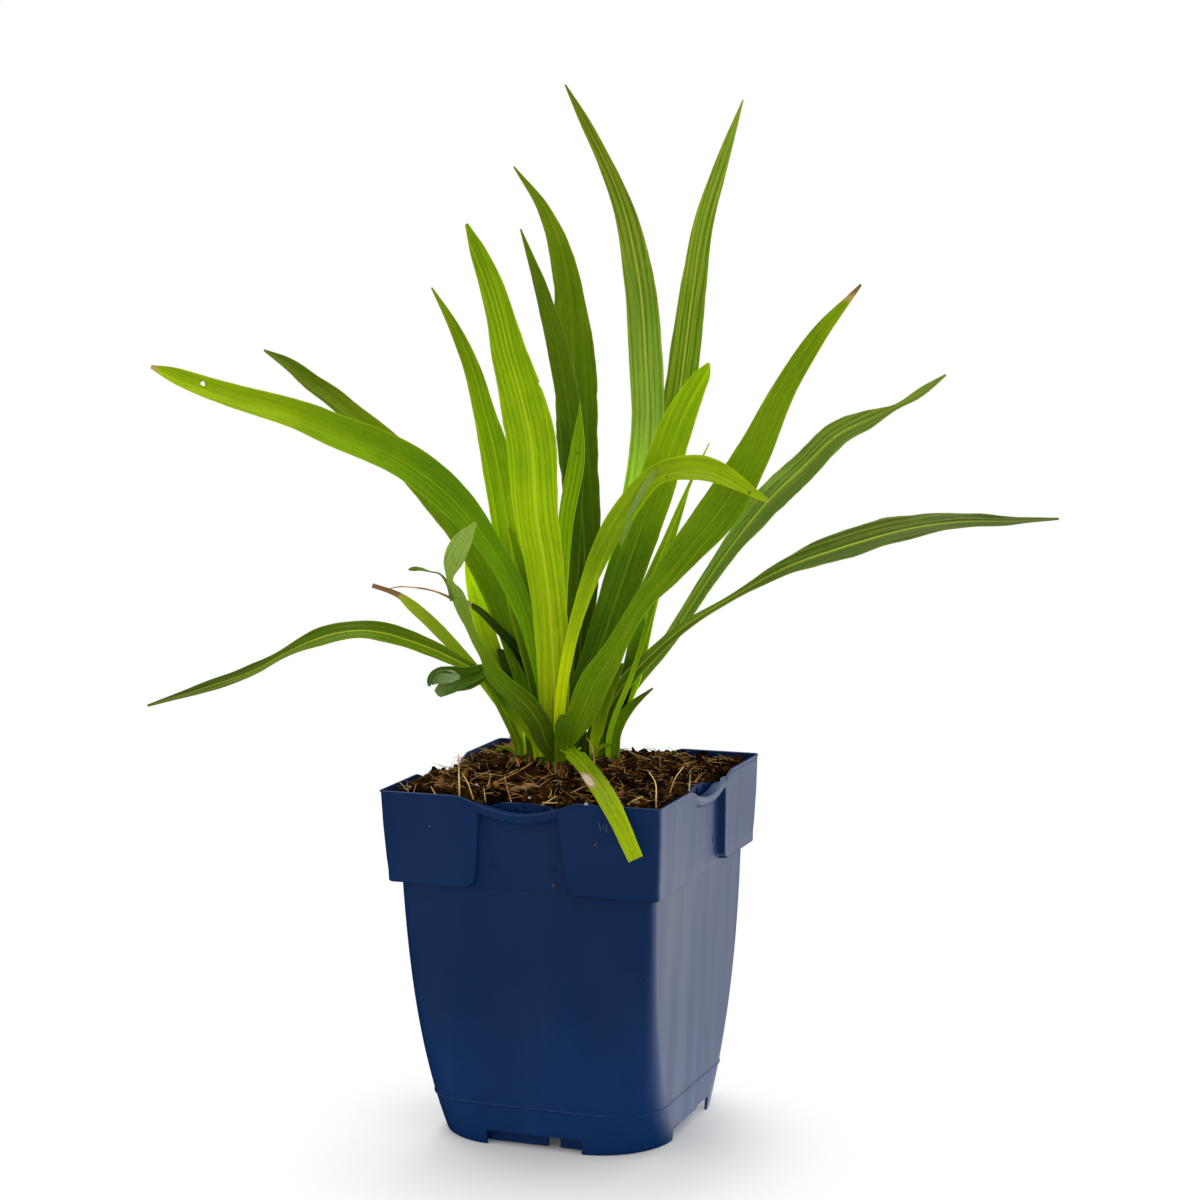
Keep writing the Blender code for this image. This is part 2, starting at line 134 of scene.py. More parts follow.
def times(tree, first, second):
    return calc(tree, "MULTIPLY", first, second)


def vector(tree, operation, first, second=(0.0, 0.0, 0.0)):
    return one(tree, "ShaderNodeVectorMath", {0: first, 1: second}, operation=operation)


def measure(tree, operation, first, second=(0.0, 0.0, 0.0)):
    """A vector operation whose result is a number."""
    return add(tree, "ShaderNodeVectorMath", {0: first, 1: second}, operation=operation).outputs["Value"]


def split(tree, place):
    return add(tree, "ShaderNodeSeparateXYZ", {0: place}).outputs


def joined(tree, x=0.0, y=0.0, z=0.0):
    return one(tree, "ShaderNodeCombineXYZ", {0: x, 1: y, 2: z})


def scaled(tree, first, factor):
    return one(tree, "ShaderNodeVectorMath", {0: first, "Scale": factor}, operation="SCALE")


def band(tree, value, low, high, from_value=0.0, to_value=1.0):
    """Rises smoothly from one value to the other between low and high."""
    inputs = {"Value": value, "From Min": low, "From Max": high, "To Min": from_value, "To Max": to_value}
    return one(tree, "ShaderNodeMapRange", inputs, interpolation_type="SMOOTHSTEP")


def part_of(tree, value, low, high, amount):
    """A band that rises from nothing to an amount."""
    return times(tree, band(tree, value, low, high), amount)


def mixed(tree, amount, first, second):
    """Goes from the first colour to the second."""
    node = add(tree, "ShaderNodeMix", {0: amount}, data_type="RGBA")
    for at, colour in ((6, first), (7, second)):
        feed(tree, node.inputs[at], (*colour, 1.0) if isinstance(colour, tuple) else colour)
    return node.outputs[2]


def noise(tree, place, scale, detail=3.0, roughness=0.5):
    inputs = {"Vector": place, "Scale": scale, "Detail": detail, "Roughness": roughness}
    return one(tree, "ShaderNodeTexNoise", inputs)


def streaked(tree, place, scale, detail=2.0, roughness=0.6, shift=(0.0, 0.0, 0.0)):
    """Noise that is stretched to its own scale each way."""
    stretched = one(tree, "ShaderNodeMapping", {"Vector": place, "Scale": scale, "Location": shift})
    return noise(tree, stretched, 1.0, detail, roughness)


def carried(tree, label, output="Fac"):
    """What the mesh carries under this label."""
    return add(tree, "ShaderNodeAttribute", attribute_name=label).outputs[output]


def new_material(name):
    """A material, its tree, its shader, and the place on the object it colours."""
    made = bpy.data.materials.new(name)
    made.use_nodes = True
    tree = made.node_tree
    place = add(tree, "ShaderNodeTexCoord").outputs["Object"]
    return made, tree, tree.nodes["Principled BSDF"], place


def coated(tree, shader, colour, roughness, specular):
    """Sets how a shader's surface looks."""
    feed(tree, shader.inputs["Base Color"], colour)
    feed(tree, shader.inputs["Roughness"], roughness)
    shader.inputs["Specular IOR Level"].default_value = specular


def bumped(tree, shader, height, strength, distance):
    node = add(tree, "ShaderNodeBump", {"Height": height, "Strength": strength, "Distance": distance})
    tree.links.new(node.outputs[0], shader.inputs["Normal"])


def new_object(name, mesh):
    made = bpy.data.objects.new(name, mesh)
    bpy.context.scene.collection.objects.link(made)
    return made


def mesh_of(name, points, faces, edges=()):
    mesh = bpy.data.meshes.new(name)
    mesh.from_pydata([tuple(float(value) * MM for value in point) for point in points], list(edges), faces)
    mesh.validate()
    return mesh


def loft(rings):
    """A closed skin through rings that have as many points each."""
    count = len(rings[0])
    points = [point for ring in rings for point in ring]
    faces = []
    for low in range(0, len(points) - count, count):
        high = low + count
        for at in range(count):
            after = (at + 1) % count
            faces.append((low + at, low + after, high + after, high + at))
    faces.append(tuple(reversed(range(count))))
    faces.append(tuple(range(len(points) - count, len(points))))
    return points, faces


def angles(count):
    return [math.tau * step / count for step in range(count)]


def hold(mesh, label, kind, values):
    """Stores a value for each point of a mesh."""
    held = mesh.attributes.new(label, kind, "POINT")
    field = "value" if kind == "FLOAT" else "vector"
    held.data.foreach_set(field, np.asarray(values, np.float32).ravel())


def new_tree(name, inputs):
    """A Geometry Nodes tree with these named inputs, and the sockets that give them."""
    tree = bpy.data.node_groups.new(name, "GeometryNodeTree")
    tree.interface.new_socket("Geometry", in_out="INPUT", socket_type="NodeSocketGeometry")
    tree.interface.new_socket("Geometry", in_out="OUTPUT", socket_type="NodeSocketGeometry")
    for label, kind in inputs.items():
        tree.interface.new_socket(label, in_out="INPUT", socket_type="NodeSocket" + kind)
    return tree, tree.nodes.new("NodeGroupInput").outputs


def close_tree(tree, geometry, skin):
    """Ends a tree with real geometry that carries its material."""
    real = one(tree, "GeometryNodeRealizeInstances", {"Geometry": geometry})
    painted = one(tree, "GeometryNodeSetMaterial", {"Geometry": real, "Material": skin})
    output = tree.nodes.new("NodeGroupOutput")
    tree.links.new(painted, output.inputs[0])


def settled(obj):
    """Replaces an object's mesh by what its modifiers make of it."""
    bpy.context.view_layer.update()
    graph = bpy.context.evaluated_depsgraph_get()
    result = bpy.data.meshes.new_from_object(obj.evaluated_get(graph), depsgraph=graph)
    obj.modifiers.clear()
    old = obj.data
    obj.data = result
    bpy.data.meshes.remove(old)


def grown(obj, tree, values):
    """Runs a tree on an object and keeps the result as a plain mesh."""
    modifier = obj.modifiers.new("grow", "NODES")
    modifier.node_group = tree
    for item in tree.interface.items_tree:
        if item.item_type == "SOCKET" and item.in_out == "INPUT" and item.name in values:
            modifier[item.identifier] = values[item.name]
    settled(obj)


def cut_by(obj, cutter):
    """Adds a cut, which settled() carries out."""
    cut = obj.modifiers.new("cut", "BOOLEAN")
    cut.operation = "DIFFERENCE"
    cut.solver = "EXACT"
    cut.object = cutter


def walled(obj, thickness):
    """Gives a sheet its thickness, and returns the modifier."""
    wall = obj.modifiers.new("thickness", "SOLIDIFY")
    wall.thickness = thickness * MM
    wall.offset = 0.0
    return wall


def painted(obj, skin):
    obj.data.materials.clear()
    obj.data.materials.append(skin)
    obj.data.shade_smooth()


def finished(obj, slot, *nodes):
    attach(obj, "root")
    if nodes:
        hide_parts(*nodes)


# ---------------------------------------------------------------- materials


def leaf_skin(name, rib, rib_width, veins, contrast, backed=0.0, scar=False, painted_half_shade=0.0):
    """Parallel-veined leaf in its blade's tone (colour with painted light), a rib down the middle, dry brown
    ends.
    """
    made, tree, shader, place = new_material(name)
    across, along, _ = split(tree, one(tree, "ShaderNodeUVMap", uv_map="UVMap"))
    tone, dryness, broad = carried(tree, "tone", "Vector"), carried(tree, "dry"), carried(tree, "broad")
    # the veins keep their own width, so their pattern runs in real widths across a blade
    off_middle = less(tree, across, 0.5)
    even = times(tree, off_middle, calc(tree, "DIVIDE", broad, 0.006))
    grain = joined(tree, even, along, carried(tree, "own"))
    streaks = streaked(tree, grain, (22.0, 1.6, 1.0))
    fine = streaked(tree, grain, (30.0, 3.0, 1.0), 1.0)
    cells = streaked(tree, grain, (10.0, 44.0, 1.0), 1.0)
    sway = streaked(tree, grain, (3.0, 5.0, 1.0), 2.0, 0.5)
    calm = band(tree, broad, 0.0008, 0.0026, 0.12, 1.0)
    if backed:
        tone = mixed(tree, backed, tone, (0.26, 0.33, 0.12))
    deep = vector(tree, "MULTIPLY", tone, (0.52, 0.62, 0.25))
    pale = vector(tree, "ADD", scaled(tree, tone, 1.28), (0.045, 0.040, 0.002))
    blotch = band(tree, noise(tree, place, 42.0, 3.0, 0.55), 0.32, 0.62)
    colour = mixed(tree, blotch, vector(tree, "MULTIPLY", tone, (0.80, 0.86, 0.8)), scaled(tree, tone, 1.10))
    phase = plus(tree, times(tree, even, veins), times(tree, sway, 1.4))
    wave = calc(tree, "SINE", times(tree, phase, math.tau))
    for value, low, high, amount, shade in (
        (wave, -0.2, 0.95, contrast, deep),
        (streaks, 0.50, 0.68, 0.25 + contrast, pale),
        (fine, 0.50, 0.70, 0.40, deep),
        (cells, 0.50, 0.72, 0.20, pale),
    ):
        colour = mixed(tree, part_of(tree, value, low, high, times(tree, calm, amount)), colour, shade)
    # painted shade: one half of the blade across is darkened, as if a fold turned that half from the light
    if painted_half_shade:
        shaded = vector(tree, "MULTIPLY", tone, (0.55, 0.62, 0.55))
        colour = mixed(tree, part_of(tree, across, 0.53, 0.66, painted_half_shade), colour, shaded)
    from_middle = calc(tree, "ABSOLUTE", off_middle)
    width = band(tree, along, 0.0, 1.0, rib_width * 1.7, rib_width * 0.6)
    width = times(tree, width, plus(tree, 0.6, times(tree, sway, 0.8)))
    middle = less(tree, 1.0, band(tree, calc(tree, "DIVIDE", from_middle, width), 0.1, 1.1))
    rib_mask = times(tree, middle, band(tree, along, 0.86, 1.0, 0.15 + contrast * 0.8, 0.0))
    colour = mixed(tree, rib_mask, colour, rib)
    colour = mixed(tree, part_of(tree, from_middle, 0.455, 0.495, plus(tree, 0.1, sway)), colour, pale)
    if scar:
        aside = times(tree, less(tree, across, 0.82), 3.0)
        ahead = times(tree, less(tree, along, 0.54), 10.0)
        spread = measure(tree, "LENGTH", joined(tree, aside, ahead))
        worn = noise(tree, place, 620.0, 3.0, 0.6)
        spread = plus(tree, spread, times(tree, less(tree, worn, 0.5), 1.1))
        colour = mixed(tree, band(tree, spread, 0.76, 0.94, 1.0, 0.0), colour, (0.36, 0.25, 0.10))
        colour = mixed(tree, band(tree, spread, 0.52, 0.74, 1.0, 0.0), colour, (0.55, 0.44, 0.33))
    flecks = noise(tree, place, 520.0, 1.0, 0.5)
    colour = mixed(tree, part_of(tree, flecks, 0.765, 0.790, 0.5), colour, (0.055, 0.050, 0.006))
    ragged = plus(tree, dryness, times(tree, less(tree, streaks, 0.5), 0.8))
    colour = mixed(tree, band(tree, ragged, 0.30, 0.55), colour, (0.46, 0.33, 0.09))
    colour = mixed(tree, band(tree, ragged, 0.60, 0.90), colour, (0.24, 0.13, 0.050))
    coated(tree, shader, colour, plus(tree, 0.40, times(tree, streaks, 0.16)), 0.06)
    shader.inputs["Subsurface Weight"].default_value = 0.15
    shader.inputs["Subsurface Radius"].default_value = (0.8, 1.0, 0.05)
    shader.inputs["Subsurface Scale"].default_value = 0.0008
    ridges = less(tree, times(tree, streaks, 0.7), times(tree, middle, 0.8))
    for value, amount in ((wave, 0.10 + 0.2 * contrast), (fine, 0.3), (cells, 0.35)):
        ridges = plus(tree, ridges, times(tree, value, amount))
    bumped(tree, shader, times(tree, ridges, calm), 0.65, 0.0004)
    return made


def pot_skin():
    """Dark blue moulded plastic, soft sheen, faint streaks, a little dust; painted light brightens the foot.
    """
    made, tree, shader, place = new_material("pot_blue")
    streaks = streaked(tree, place, (90.0, 90.0, 7.0), 3.0)
    scratches = streaked(tree, place, (420.0, 420.0, 30.0), 2.0, 0.7, (3.0, 1.0, 5.0))
    clouds = noise(tree, place, 22.0, 4.0, 0.6)
    grain = noise(tree, place, 2600.0, 2.0, 0.6)
    colour = mixed(tree, band(tree, clouds, 0.3, 0.7), (0.0, 0.0180, 0.084), (0.0001, 0.0225, 0.100))
    colour = mixed(tree, part_of(tree, streaks, 0.55, 0.8, 0.30), colour, (0.0005, 0.029, 0.118))
    # painted light: the colour grows brighter towards the foot, standing in for light thrown up from the floor
    colour = scaled(tree, colour, band(tree, split(tree, place)[2], 0.004, 0.060, 1.32, 1.0))
    dust = part_of(tree, scratches, 0.70, 0.84, 0.10)
    colour = mixed(tree, dust, colour, (0.075, 0.085, 0.115))
    rough = plus(tree, 0.30, times(tree, clouds, 0.10))
    rough = plus(tree, rough, times(tree, dust, 0.4))
    rough = plus(tree, rough, part_of(tree, streaks, 0.35, 0.65, 0.08))
    coated(tree, shader, colour, rough, 0.27)
    height = plus(tree, times(tree, grain, 0.25), times(tree, streaks, 0.8))
    bumped(tree, shader, height, 0.30, 0.00012)
    return made


def soil_skin(name, dark, mid, light, scale, patchy=False):
    """Crumbly and matt, in three shades. It also makes the grit and chips, at other scales."""
    made, tree, shader, place = new_material(name)
    clumps = noise(tree, place, 260.0 * scale, 5.0, 0.65)
    crumbs = noise(tree, place, 1500.0 * scale, 4.0, 0.7)
    colour = mixed(tree, band(tree, clumps, 0.36, 0.62), dark, mid)
    colour = mixed(tree, part_of(tree, crumbs, 0.60, 0.78, 0.75), colour, light)
    if patchy:
        damp = band(tree, noise(tree, place, 95.0, 2.0, 0.6), 0.40, 0.60, 0.20, 1.25)
        colour = scaled(tree, colour, damp)
    coated(tree, shader, colour, 0.93, 0.02)
    bumped(tree, shader, plus(tree, clumps, crumbs), 0.9, 0.0007)
    return made


def straw_skin(name, pale, dark):
    made, tree, shader, place = new_material(name)
    blotches = noise(tree, place, 210.0, 3.0, 0.6)
    fibres = noise(tree, place, 1800.0, 2.0, 0.6)
    colour = mixed(tree, band(tree, blotches, 0.38, 0.66), dark, pale)
    colour = mixed(tree, part_of(tree, fibres, 0.5, 0.7, 0.35), colour, dark)
    coated(tree, shader, colour, 0.72, 0.05)
    bumped(tree, shader, fibres, 0.5, 0.0002)
    return made


def sheath_skin():
    """Pale green leaf bases, brown where they stand in the soil."""
    made, tree, shader, place = new_material("sheath")
    streaks = streaked(tree, place, (900.0, 900.0, 60.0))
    patches = noise(tree, place, 330.0, 3.0, 0.6)
    colour = mixed(tree, band(tree, streaks, 0.4, 0.65), (0.030, 0.055, 0.001), (0.12, 0.18, 0.003))
    colour = mixed(tree, band(tree, patches, 0.42, 0.56), colour, (0.030, 0.018, 0.006))
    muddy = band(tree, split(tree, place)[2], 0.1090, 0.1120, 0.95, 0.0)
    colour = mixed(tree, muddy, colour, (0.040, 0.022, 0.009))
    coated(tree, shader, colour, 0.8, 0.04)
    bumped(tree, shader, streaks, 0.5, 0.0004)
    return made


# ---------------------------------------------------------------- leaves

# foot and spine are in millimetres, the spine as (reach, rise, width seen from the front). Heading and lean
# turn the plane the leaf bends in, tilt is the angle of its face at foot and tip, dry_from is the part of its
# length where it turns brown, and tones run from foot to tip. The tones are each leaf's colour with painted
# light and shade in them: brighter than white at some feet that the clump shades, and near black where a
# leaf stands in shade.
Leaf = namedtuple("Leaf", "name shoot foot heading lean tilt skin dry_from tones spine")

LEAVES = [Leaf(*row) for row in (
    ("leaf_tall_centre", "shoot_right", (1, 13, 115), 47, 8, (10, 10), "striped", 1.1,
     ((1.064, 1.776, 0.089), (0.264, 0.419, 0.042), (0.165, 0.219, 0.007)),
     ((0, 0, 2.5), (4.4, 31.7, 1.9), (7.3, 44, 2), (9.1, 50.1, 2.2), (15, 62, 5), (21, 74, 9),
      (27, 98, 10), (28, 118, 10.5), (27.7, 144, 9.3), (23.3, 169, 6), (18.4, 181.7, 4.3),
      (12.7, 194, 3), (7.2, 205, 0.4))),
    ("leaf_tall_right", "shoot_right", (4, 17, 115), 48, 7, (10, 10), "striped", 1.1,
     ((0.186, 0.335, 0.006), (0.18, 0.289, 0.009), (0.203, 0.306, 0.018)),
     ((0, 0, 3), (16, 59, 5.5), (25, 84, 8), (33, 104, 9.5), (37.2, 121.5, 9.4), (41.4, 140, 8.1),
      (46.3, 159.5, 6.3), (55, 180.5, 4.1), (64, 200, 0.4))),
    ("leaf_back_dark", "shoot_front", (-6, 12, 115), 182, -14, (5, 15), "plain", 1.1,
     ((0.022, 0.045, 0.001), (0.089, 0.17, 0.001), (0.144, 0.226, 0.001)),
     ((0, 0, 3.5), (-1, 29, 6), (-0.5, 57, 9.5), (2, 76, 11.5), (4.7, 95.5, 12.5), (6.4, 111, 13.2),
      (8.9, 127, 12.8), (10.9, 141, 9.3), (15.2, 156.5, 7), (22.2, 170.5, 3.7), (33, 184, 0.4))),
    ("leaf_back_fork", "shoot_front", (-7, 9, 116), 184, -10, (10, 20), "plain", 1.1,
     ((0.07, 0.14, 0.001), (0.055, 0.107, 0.001), (0.106, 0.179, 0.001)),
     ((0, 0, 3), (0, 50, 4.5), (0.4, 81, 6), (1.8, 97.5, 6.8), (5.2, 115, 7), (12.3, 138, 4.6),
      (21, 160, 0.4))),
    ("leaf_bright_broad", "shoot_front", (-6, -1, 114), 210, 5, (5, 15), "ribbed", 1.1,
     ((0.321, 0.415, 0.001), (0.32, 0.491, 0.001), (0.199, 0.328, 0.001)),
     ((0, 0, 5), (3, 60, 11.5), (5, 72, 13), (7, 99, 14.5), (9.9, 112, 12.9), (13.2, 124, 10.4),
      (15.5, 134.5, 8.2), (18.7, 145.5, 6.7), (22, 154, 4.6), (25.2, 162, 0.8))),
    ("leaf_left_narrow", "shoot_front", (-10, 2, 117), 190, -4, (10, 20), "ribbed", 1.1,
     ((0.052, 0.1, 0.001), (0.316, 0.518, 0.001), (0.175, 0.276, 0.001)),
     ((0, 0, 4.5), (9, 47, 8), (12.6, 69, 9.2), (16.7, 91, 8.4), (19.7, 102, 6.4), (22.7, 112.8, 5.3),
      (28.6, 126.7, 3.3), (36, 139.5, 0.4))),
    ("leaf_left_arch", "shoot_front", (-9, -1, 118), 220, 0, (10, 40), "banded", 0.995,
     ((0.189, 0.377, 0.001), (0.131, 0.264, 0.001), (0.311, 0.446, 0.001)),
     ((0, 0, 2), (1.2, 15, 2), (2.9, 24.9, 2.8), (4.9, 35.3, 4.6), (8.9, 46.7, 6.4), (13.4, 55.5, 6.6),
      (17.3, 61.8, 7), (22.4, 68.9, 8.8), (27.9, 75.2, 10), (34.3, 81, 10.5), (42.5, 87, 10.5),
      (64, 97, 9.8), (75.7, 102.3, 8.6), (87, 106, 7.6), (102, 111.3, 5.8), (112, 115.5, 3.8),
      (117, 117.8, 0.8))),
    ("leaf_left_behind", "shoot_left", (-16, 4, 116), 177, 0, (10, 35), "plain", 1.1,
     ((0.1, 0.2, 0.001), (0.17, 0.283, 0.001), (0.108, 0.166, 0.001)),
     ((0, 0, 3.5), (12, 46, 7), (16, 54, 7.5), (33, 77, 9.5), (61, 101, 6.5), (68, 106, 6),
      (75.8, 110.8, 5.2), (83.1, 116, 3.8), (92.2, 120.6, 0.5))),
    ("leaf_round_tip", "shoot_front", (-2, 2, 117), 27, 0, (10, 20), "plain", 1.1,
     ((0.048, 0.109, 0.001), (0.09, 0.18, 0.001), (0.316, 0.487, 0.001)),
     ((0, 0, 5), (11, 33, 10), (26, 74, 11.5), (36.6, 102, 8.6), (40.3, 108.8, 6), (42.8, 113, 3.8),
      (44, 115.5, 0.8))),
    ("leaf_bent_over", "shoot_front", (-4, -3, 116), -4, 0, (0, 25), "plain", 0.999,
     ((0.646, 0.783, 0.001), (0.209, 0.334, 0.003), (0.259, 0.374, 0.001)),
     ((0, 0, 2.5), (8, 43, 4), (24, 74, 7), (35, 85, 6), (48, 87, 7.5), (70, 78, 1))),
    ("leaf_big_right", "shoot_front", (-1, -4, 116), 8, 0, (5, 30), "plain", 0.965,
     ((0.139, 0.241, 0.001), (0.135, 0.242, 0.001), (0.192, 0.302, 0.002)),
     ((0, 0, 3.2), (1.1, 3.6, 5.2), (4, 9, 7.8), (9.8, 21.6, 9.2), (13.8, 27.8, 7.6), (17.5, 34.5, 5.8),
      (25, 46.4, 5.7), (31, 52.8, 7), (38.7, 62, 9.8), (49, 74, 12.2), (59.3, 91.5, 9.9),
      (67.8, 108.8, 7), (78.3, 125.2, 5), (90.9, 140.2, 0.6))),
    ("leaf_right_wavy", "shoot_right", (4, 14, 114), 37, 0, (10, 35), "folded", 1.1,
     ((0.286, 0.446, 0.036), (0.174, 0.27, 0.033), (0.184, 0.267, 0.027)),
     ((0, 0, 3.5), (24, 35, 4), (38.4, 55.4, 5.4), (55.4, 75, 8.9), (67.2, 85.3, 8.5),
      (78.4, 94.6, 7.6), (88.1, 98.7, 5.2), (96.8, 102.2, 1.6), (105.2, 106.4, 2.6), (114, 112, 0.4))),
    ("leaf_right_low", "shoot_right", (4, 11, 115), 15, 0, (10, 60), "folded", 1.1,
     ((0.164, 0.274, 0.013), (0.122, 0.183, 0.015), (0.104, 0.143, 0.028)),
     ((0, 0, 3.5), (25, 35.5, 3), (41.8, 46.2, 1.9), (60.8, 56.4, 5.4), (71.8, 60.3, 7.7),
      (83, 63.6, 8.2), (105.9, 68.6, 5.4), (128, 69.2, 1.9), (140, 70, 0.4))),
    ("leaf_low_left", "shoot_left", (-19, 1, 115), 220, 0, (10, 60), "folded", 1.1,
     ((0.195, 0.319, 0.003), (0.142, 0.225, 0.004), (0.084, 0.121, 0.008)),
     ((0, 0, 2.8), (2, 5.7, 2.8), (4.6, 11.6, 3), (7.7, 18.1, 3), (11.8, 23.6, 3), (17.1, 26.9, 3.3),
      (22.3, 29.8, 4.2), (28.2, 32.6, 4.6), (49, 39, 5.9), (57, 38.6, 5.5), (65, 36.5, 4.6),
      (72.6, 33.4, 2.6), (81.3, 29.2, 3.4), (97, 24.6, 2.5), (114, 20.5, 0.4))),
    ("leaf_brown_tip", "shoot_left", (-19, 3, 115), 200, 0, (10, 30), "plain", 0.87,
     ((0.631, 0.787, 0.007), (0.237, 0.368, 0.007), (0.315, 0.389, 0.019)),
     ((0, 0, 2.5), (9, 17, 3), (19.7, 30.6, 3.6), (28, 39.4, 3.7), (33, 44, 3.2), (36.6, 47.1, 1.8),
      (39.5, 48.5, 1.4), (45, 50.4, 1.2))),
    ("leaf_folded_head", "shoot_front", (-4, -6, 114), 224, 0, (0, 20), "plain", 1.1,
     ((0.043, 0.081, 0.001), (0.12, 0.219, 0.002), (0.258, 0.369, 0.062)),
     ((0, 0, 4.6), (2.5, 4.2, 5.6), (4.6, 10, 7.2), (8, 15.4, 7), (13.5, 21, 5.8), (18.9, 26.5, 5.1),
      (21.7, 32.8, 3.5), (24.6, 37.3, 2.4), (26.4, 41.7, 2.6), (28.6, 47.4, 4), (30.4, 52, 3.8),
      (32.4, 55.7, 1.6), (31.2, 62, 6), (28.2, 67.5, 5.6), (24, 73, 0.8))),
    ("leaf_dark_short", "shoot_front", (-11, 4, 119), 196, -2, (10, 20), "plain", 0.95,
     ((0.02, 0.041, 0.001), (0.001, 0.002, 0), (0.035, 0.069, 0.001)),
     ((0, 0, 2.8), (3.4, 14.5, 2.9), (4.6, 18.6, 3.1), (6.7, 22.7, 3.1), (9.7, 27.4, 2.8),
      (14.8, 32.8, 2.4), (19.9, 38, 2), (25.2, 41.4, 1))),
    ("leaf_curled_hook", "shoot_front", (-12, 0, 115), 224, 0, (5, 20), "plain", 1.1,
     ((0.412, 0.637, 0.004), (0.055, 0.121, 0.003), (0.06, 0.144, 0.014)),
     ((0, 0, 3), (9, 13, 3.5), (14.5, 22.5, 4), (17.5, 25, 4.6), (22, 23.6, 4.8), (26, 22, 4.4),
      (30, 20.3, 3.4), (32, 19.2, 2))),
    ("leaf_lime_behind", "shoot_left", (-20, 6, 114), 184, 0, (10, 20), "plain", 1.1,
     ((0.965, 1.255, 0.001), (0.224, 0.292, 0.001), (0.734, 1.026, 0.006)),
     ((0, 0, 3), (1.6, 6, 2.7), (4.2, 11.3, 2.9), (6.3, 17.4, 3.3), (8.6, 29, 4.8), (10.9, 34.6, 5.6),
      (12.4, 40, 5.8), (14.3, 47.6, 5.2), (16.2, 52.8, 2.8), (17.5, 57, 0.5))),
    ("leaf_small_bright", "shoot_front", (-5, 3, 117), 22, 5, (10, 10), "ribbed", 1.1,
     ((0.396, 0.539, 0.001), (0.322, 0.514, 0.001), (0.171, 0.306, 0.001)),
     ((0, 0, 2.5), (1, 50, 3), (2, 67, 4.5), (6, 89, 4.5), (7, 104, 0))),
    ("leaf_pale_midrib", "shoot_right", (7, 14, 115), 32, 0, (10, 20), "ribbed", 1.1,
     ((0.432, 0.721, 0.004), (0.371, 0.632, 0.001), (0.257, 0.406, 0.005)),
     ((0, 0, 3), (7, 20, 4.5), (12, 41, 4.5), (25, 79, 1))),
    ("blade_thin_left", "shoot_right", (5, 9, 115), 28, 0, (10, 10), "plain", 1.1,
     ((0.142, 0.237, 0.002), (0.2, 0.33, 0.003), (0.338, 0.52, 0.007)),
     ((0, 0, 1.5), (23, 68, 1.3), (31, 85, 0.7), (35, 93, 0.2))),
    ("blade_thin_right", "shoot_right", (8, 8, 115), 28, 0, (10, 10), "plain", 1.1,
     ((0.34, 0.561, 0.005), (0.179, 0.294, 0.001), (0.32, 0.528, 0.016)),
     ((0, 0, 1.5), (8, 23, 1.5), (21, 60, 1), (38, 87, 0.5))),
    ("leaf_small_right", "shoot_right", (9, 11, 113), 2, 0, (10, 30), "plain", 1.1,
     ((0.154, 0.278, 0.002), (0.165, 0.3, 0.002), (0.083, 0.141, 0.001)),
     ((0, 0, 3.2), (0.3, 5.3, 3.5), (1.9, 9.3, 3.4), (5.5, 14.3, 2.7), (8.9, 17.4, 1.5),
      (12.7, 20.5, 0.4))),
    ("leaf_stub", "shoot_front", (-1.2, -7.4, 117), 22, -10, (0, 10), "plain", 1.1,
     ((0.135, 0.231, 0.002), (0.06, 0.13, 0.001), (0.072, 0.144, 0.002)),
     ((0, 0, 3.8), (0.6, 5, 4.8), (1, 9, 4.2), (1.1, 10.8, 2.2))),
    ("leaf_drooping_cut", "shoot_front", (1.1, -5.4, 115), -57, -21, (60, 10), "scarred", 1.1,
     ((0.174, 0.293, 0.001), (0.158, 0.22, 0.002), (0.313, 0.423, 0.002)),
     ((0, 0, 3), (8, 0.6, 3.6), (20, 0.6, 4.4), (36, -1.6, 5.4), (47, -5, 5.6), (53.5, -10, 5.2),
      (57, -22, 4.3))),
    ("leaf_small_round", "shoot_front", (-8, 1, 118), 197, -3, (10, 20), "plain", 1.1,
     ((0.12, 0.2, 0.001), (0.052, 0.087, 0.001), (0.156, 0.286, 0.001)),
     ((0, 0, 2.5), (7, 49, 3.5), (12, 65, 1))),
    ("leaf_dark_broad", "shoot_front", (-11, 10, 116), 200, 0, (10, 20), "plain", 1.1,
     ((0.091, 0.182, 0.001), (0.034, 0.077, 0.001), (0.04, 0.08, 0.001)),
     ((0, 0, 3), (5.4, 7.2, 3.8), (7.8, 13.8, 6.8), (10.5, 20, 8.8), (13.9, 24.8, 6), (16.9, 28.6, 1))),
    ("leaf_dark_inner", "shoot_right", (7, 12.9, 115), 32, 0, (10, 20), "plain", 1.1,
     ((0.029, 0.05, 0.001), (0.008, 0.017, 0), (0.187, 0.354, 0.002)),
     ((0, 0, 2.8), (3.5, 12.6, 3.6), (5.5, 20.4, 4.2), (7.2, 26.2, 4.6), (8.8, 31.9, 4.4),
      (11, 39, 0.8))),
    ("leaf_inner_lime", "shoot_right", (3.6, 6.8, 115), 22, 0, (10, 20), "plain", 1.1,
     ((0.448, 0.658, 0.001), (0.206, 0.316, 0.001), (0.118, 0.191, 0.001)),
     ((0, 0, 2.6), (1.5, 5.6, 3.8), (2.8, 11.1, 4), (4.4, 15.7, 3.7), (6.8, 20.8, 2.8), (9.5, 26, 0.6))),
    ("leaf_inner_short", "shoot_right", (1.2, 7.5, 114), 30, 0, (10, 20), "plain", 1.1,
     ((0.018, 0.033, 0.001), (0.051, 0.102, 0.001), (0.12, 0.22, 0.001)),
     ((0, 0, 3), (0.9, 2.5, 3.5), (1.5, 4.8, 2.9), (1.8, 7.5, 0.8))),
)]

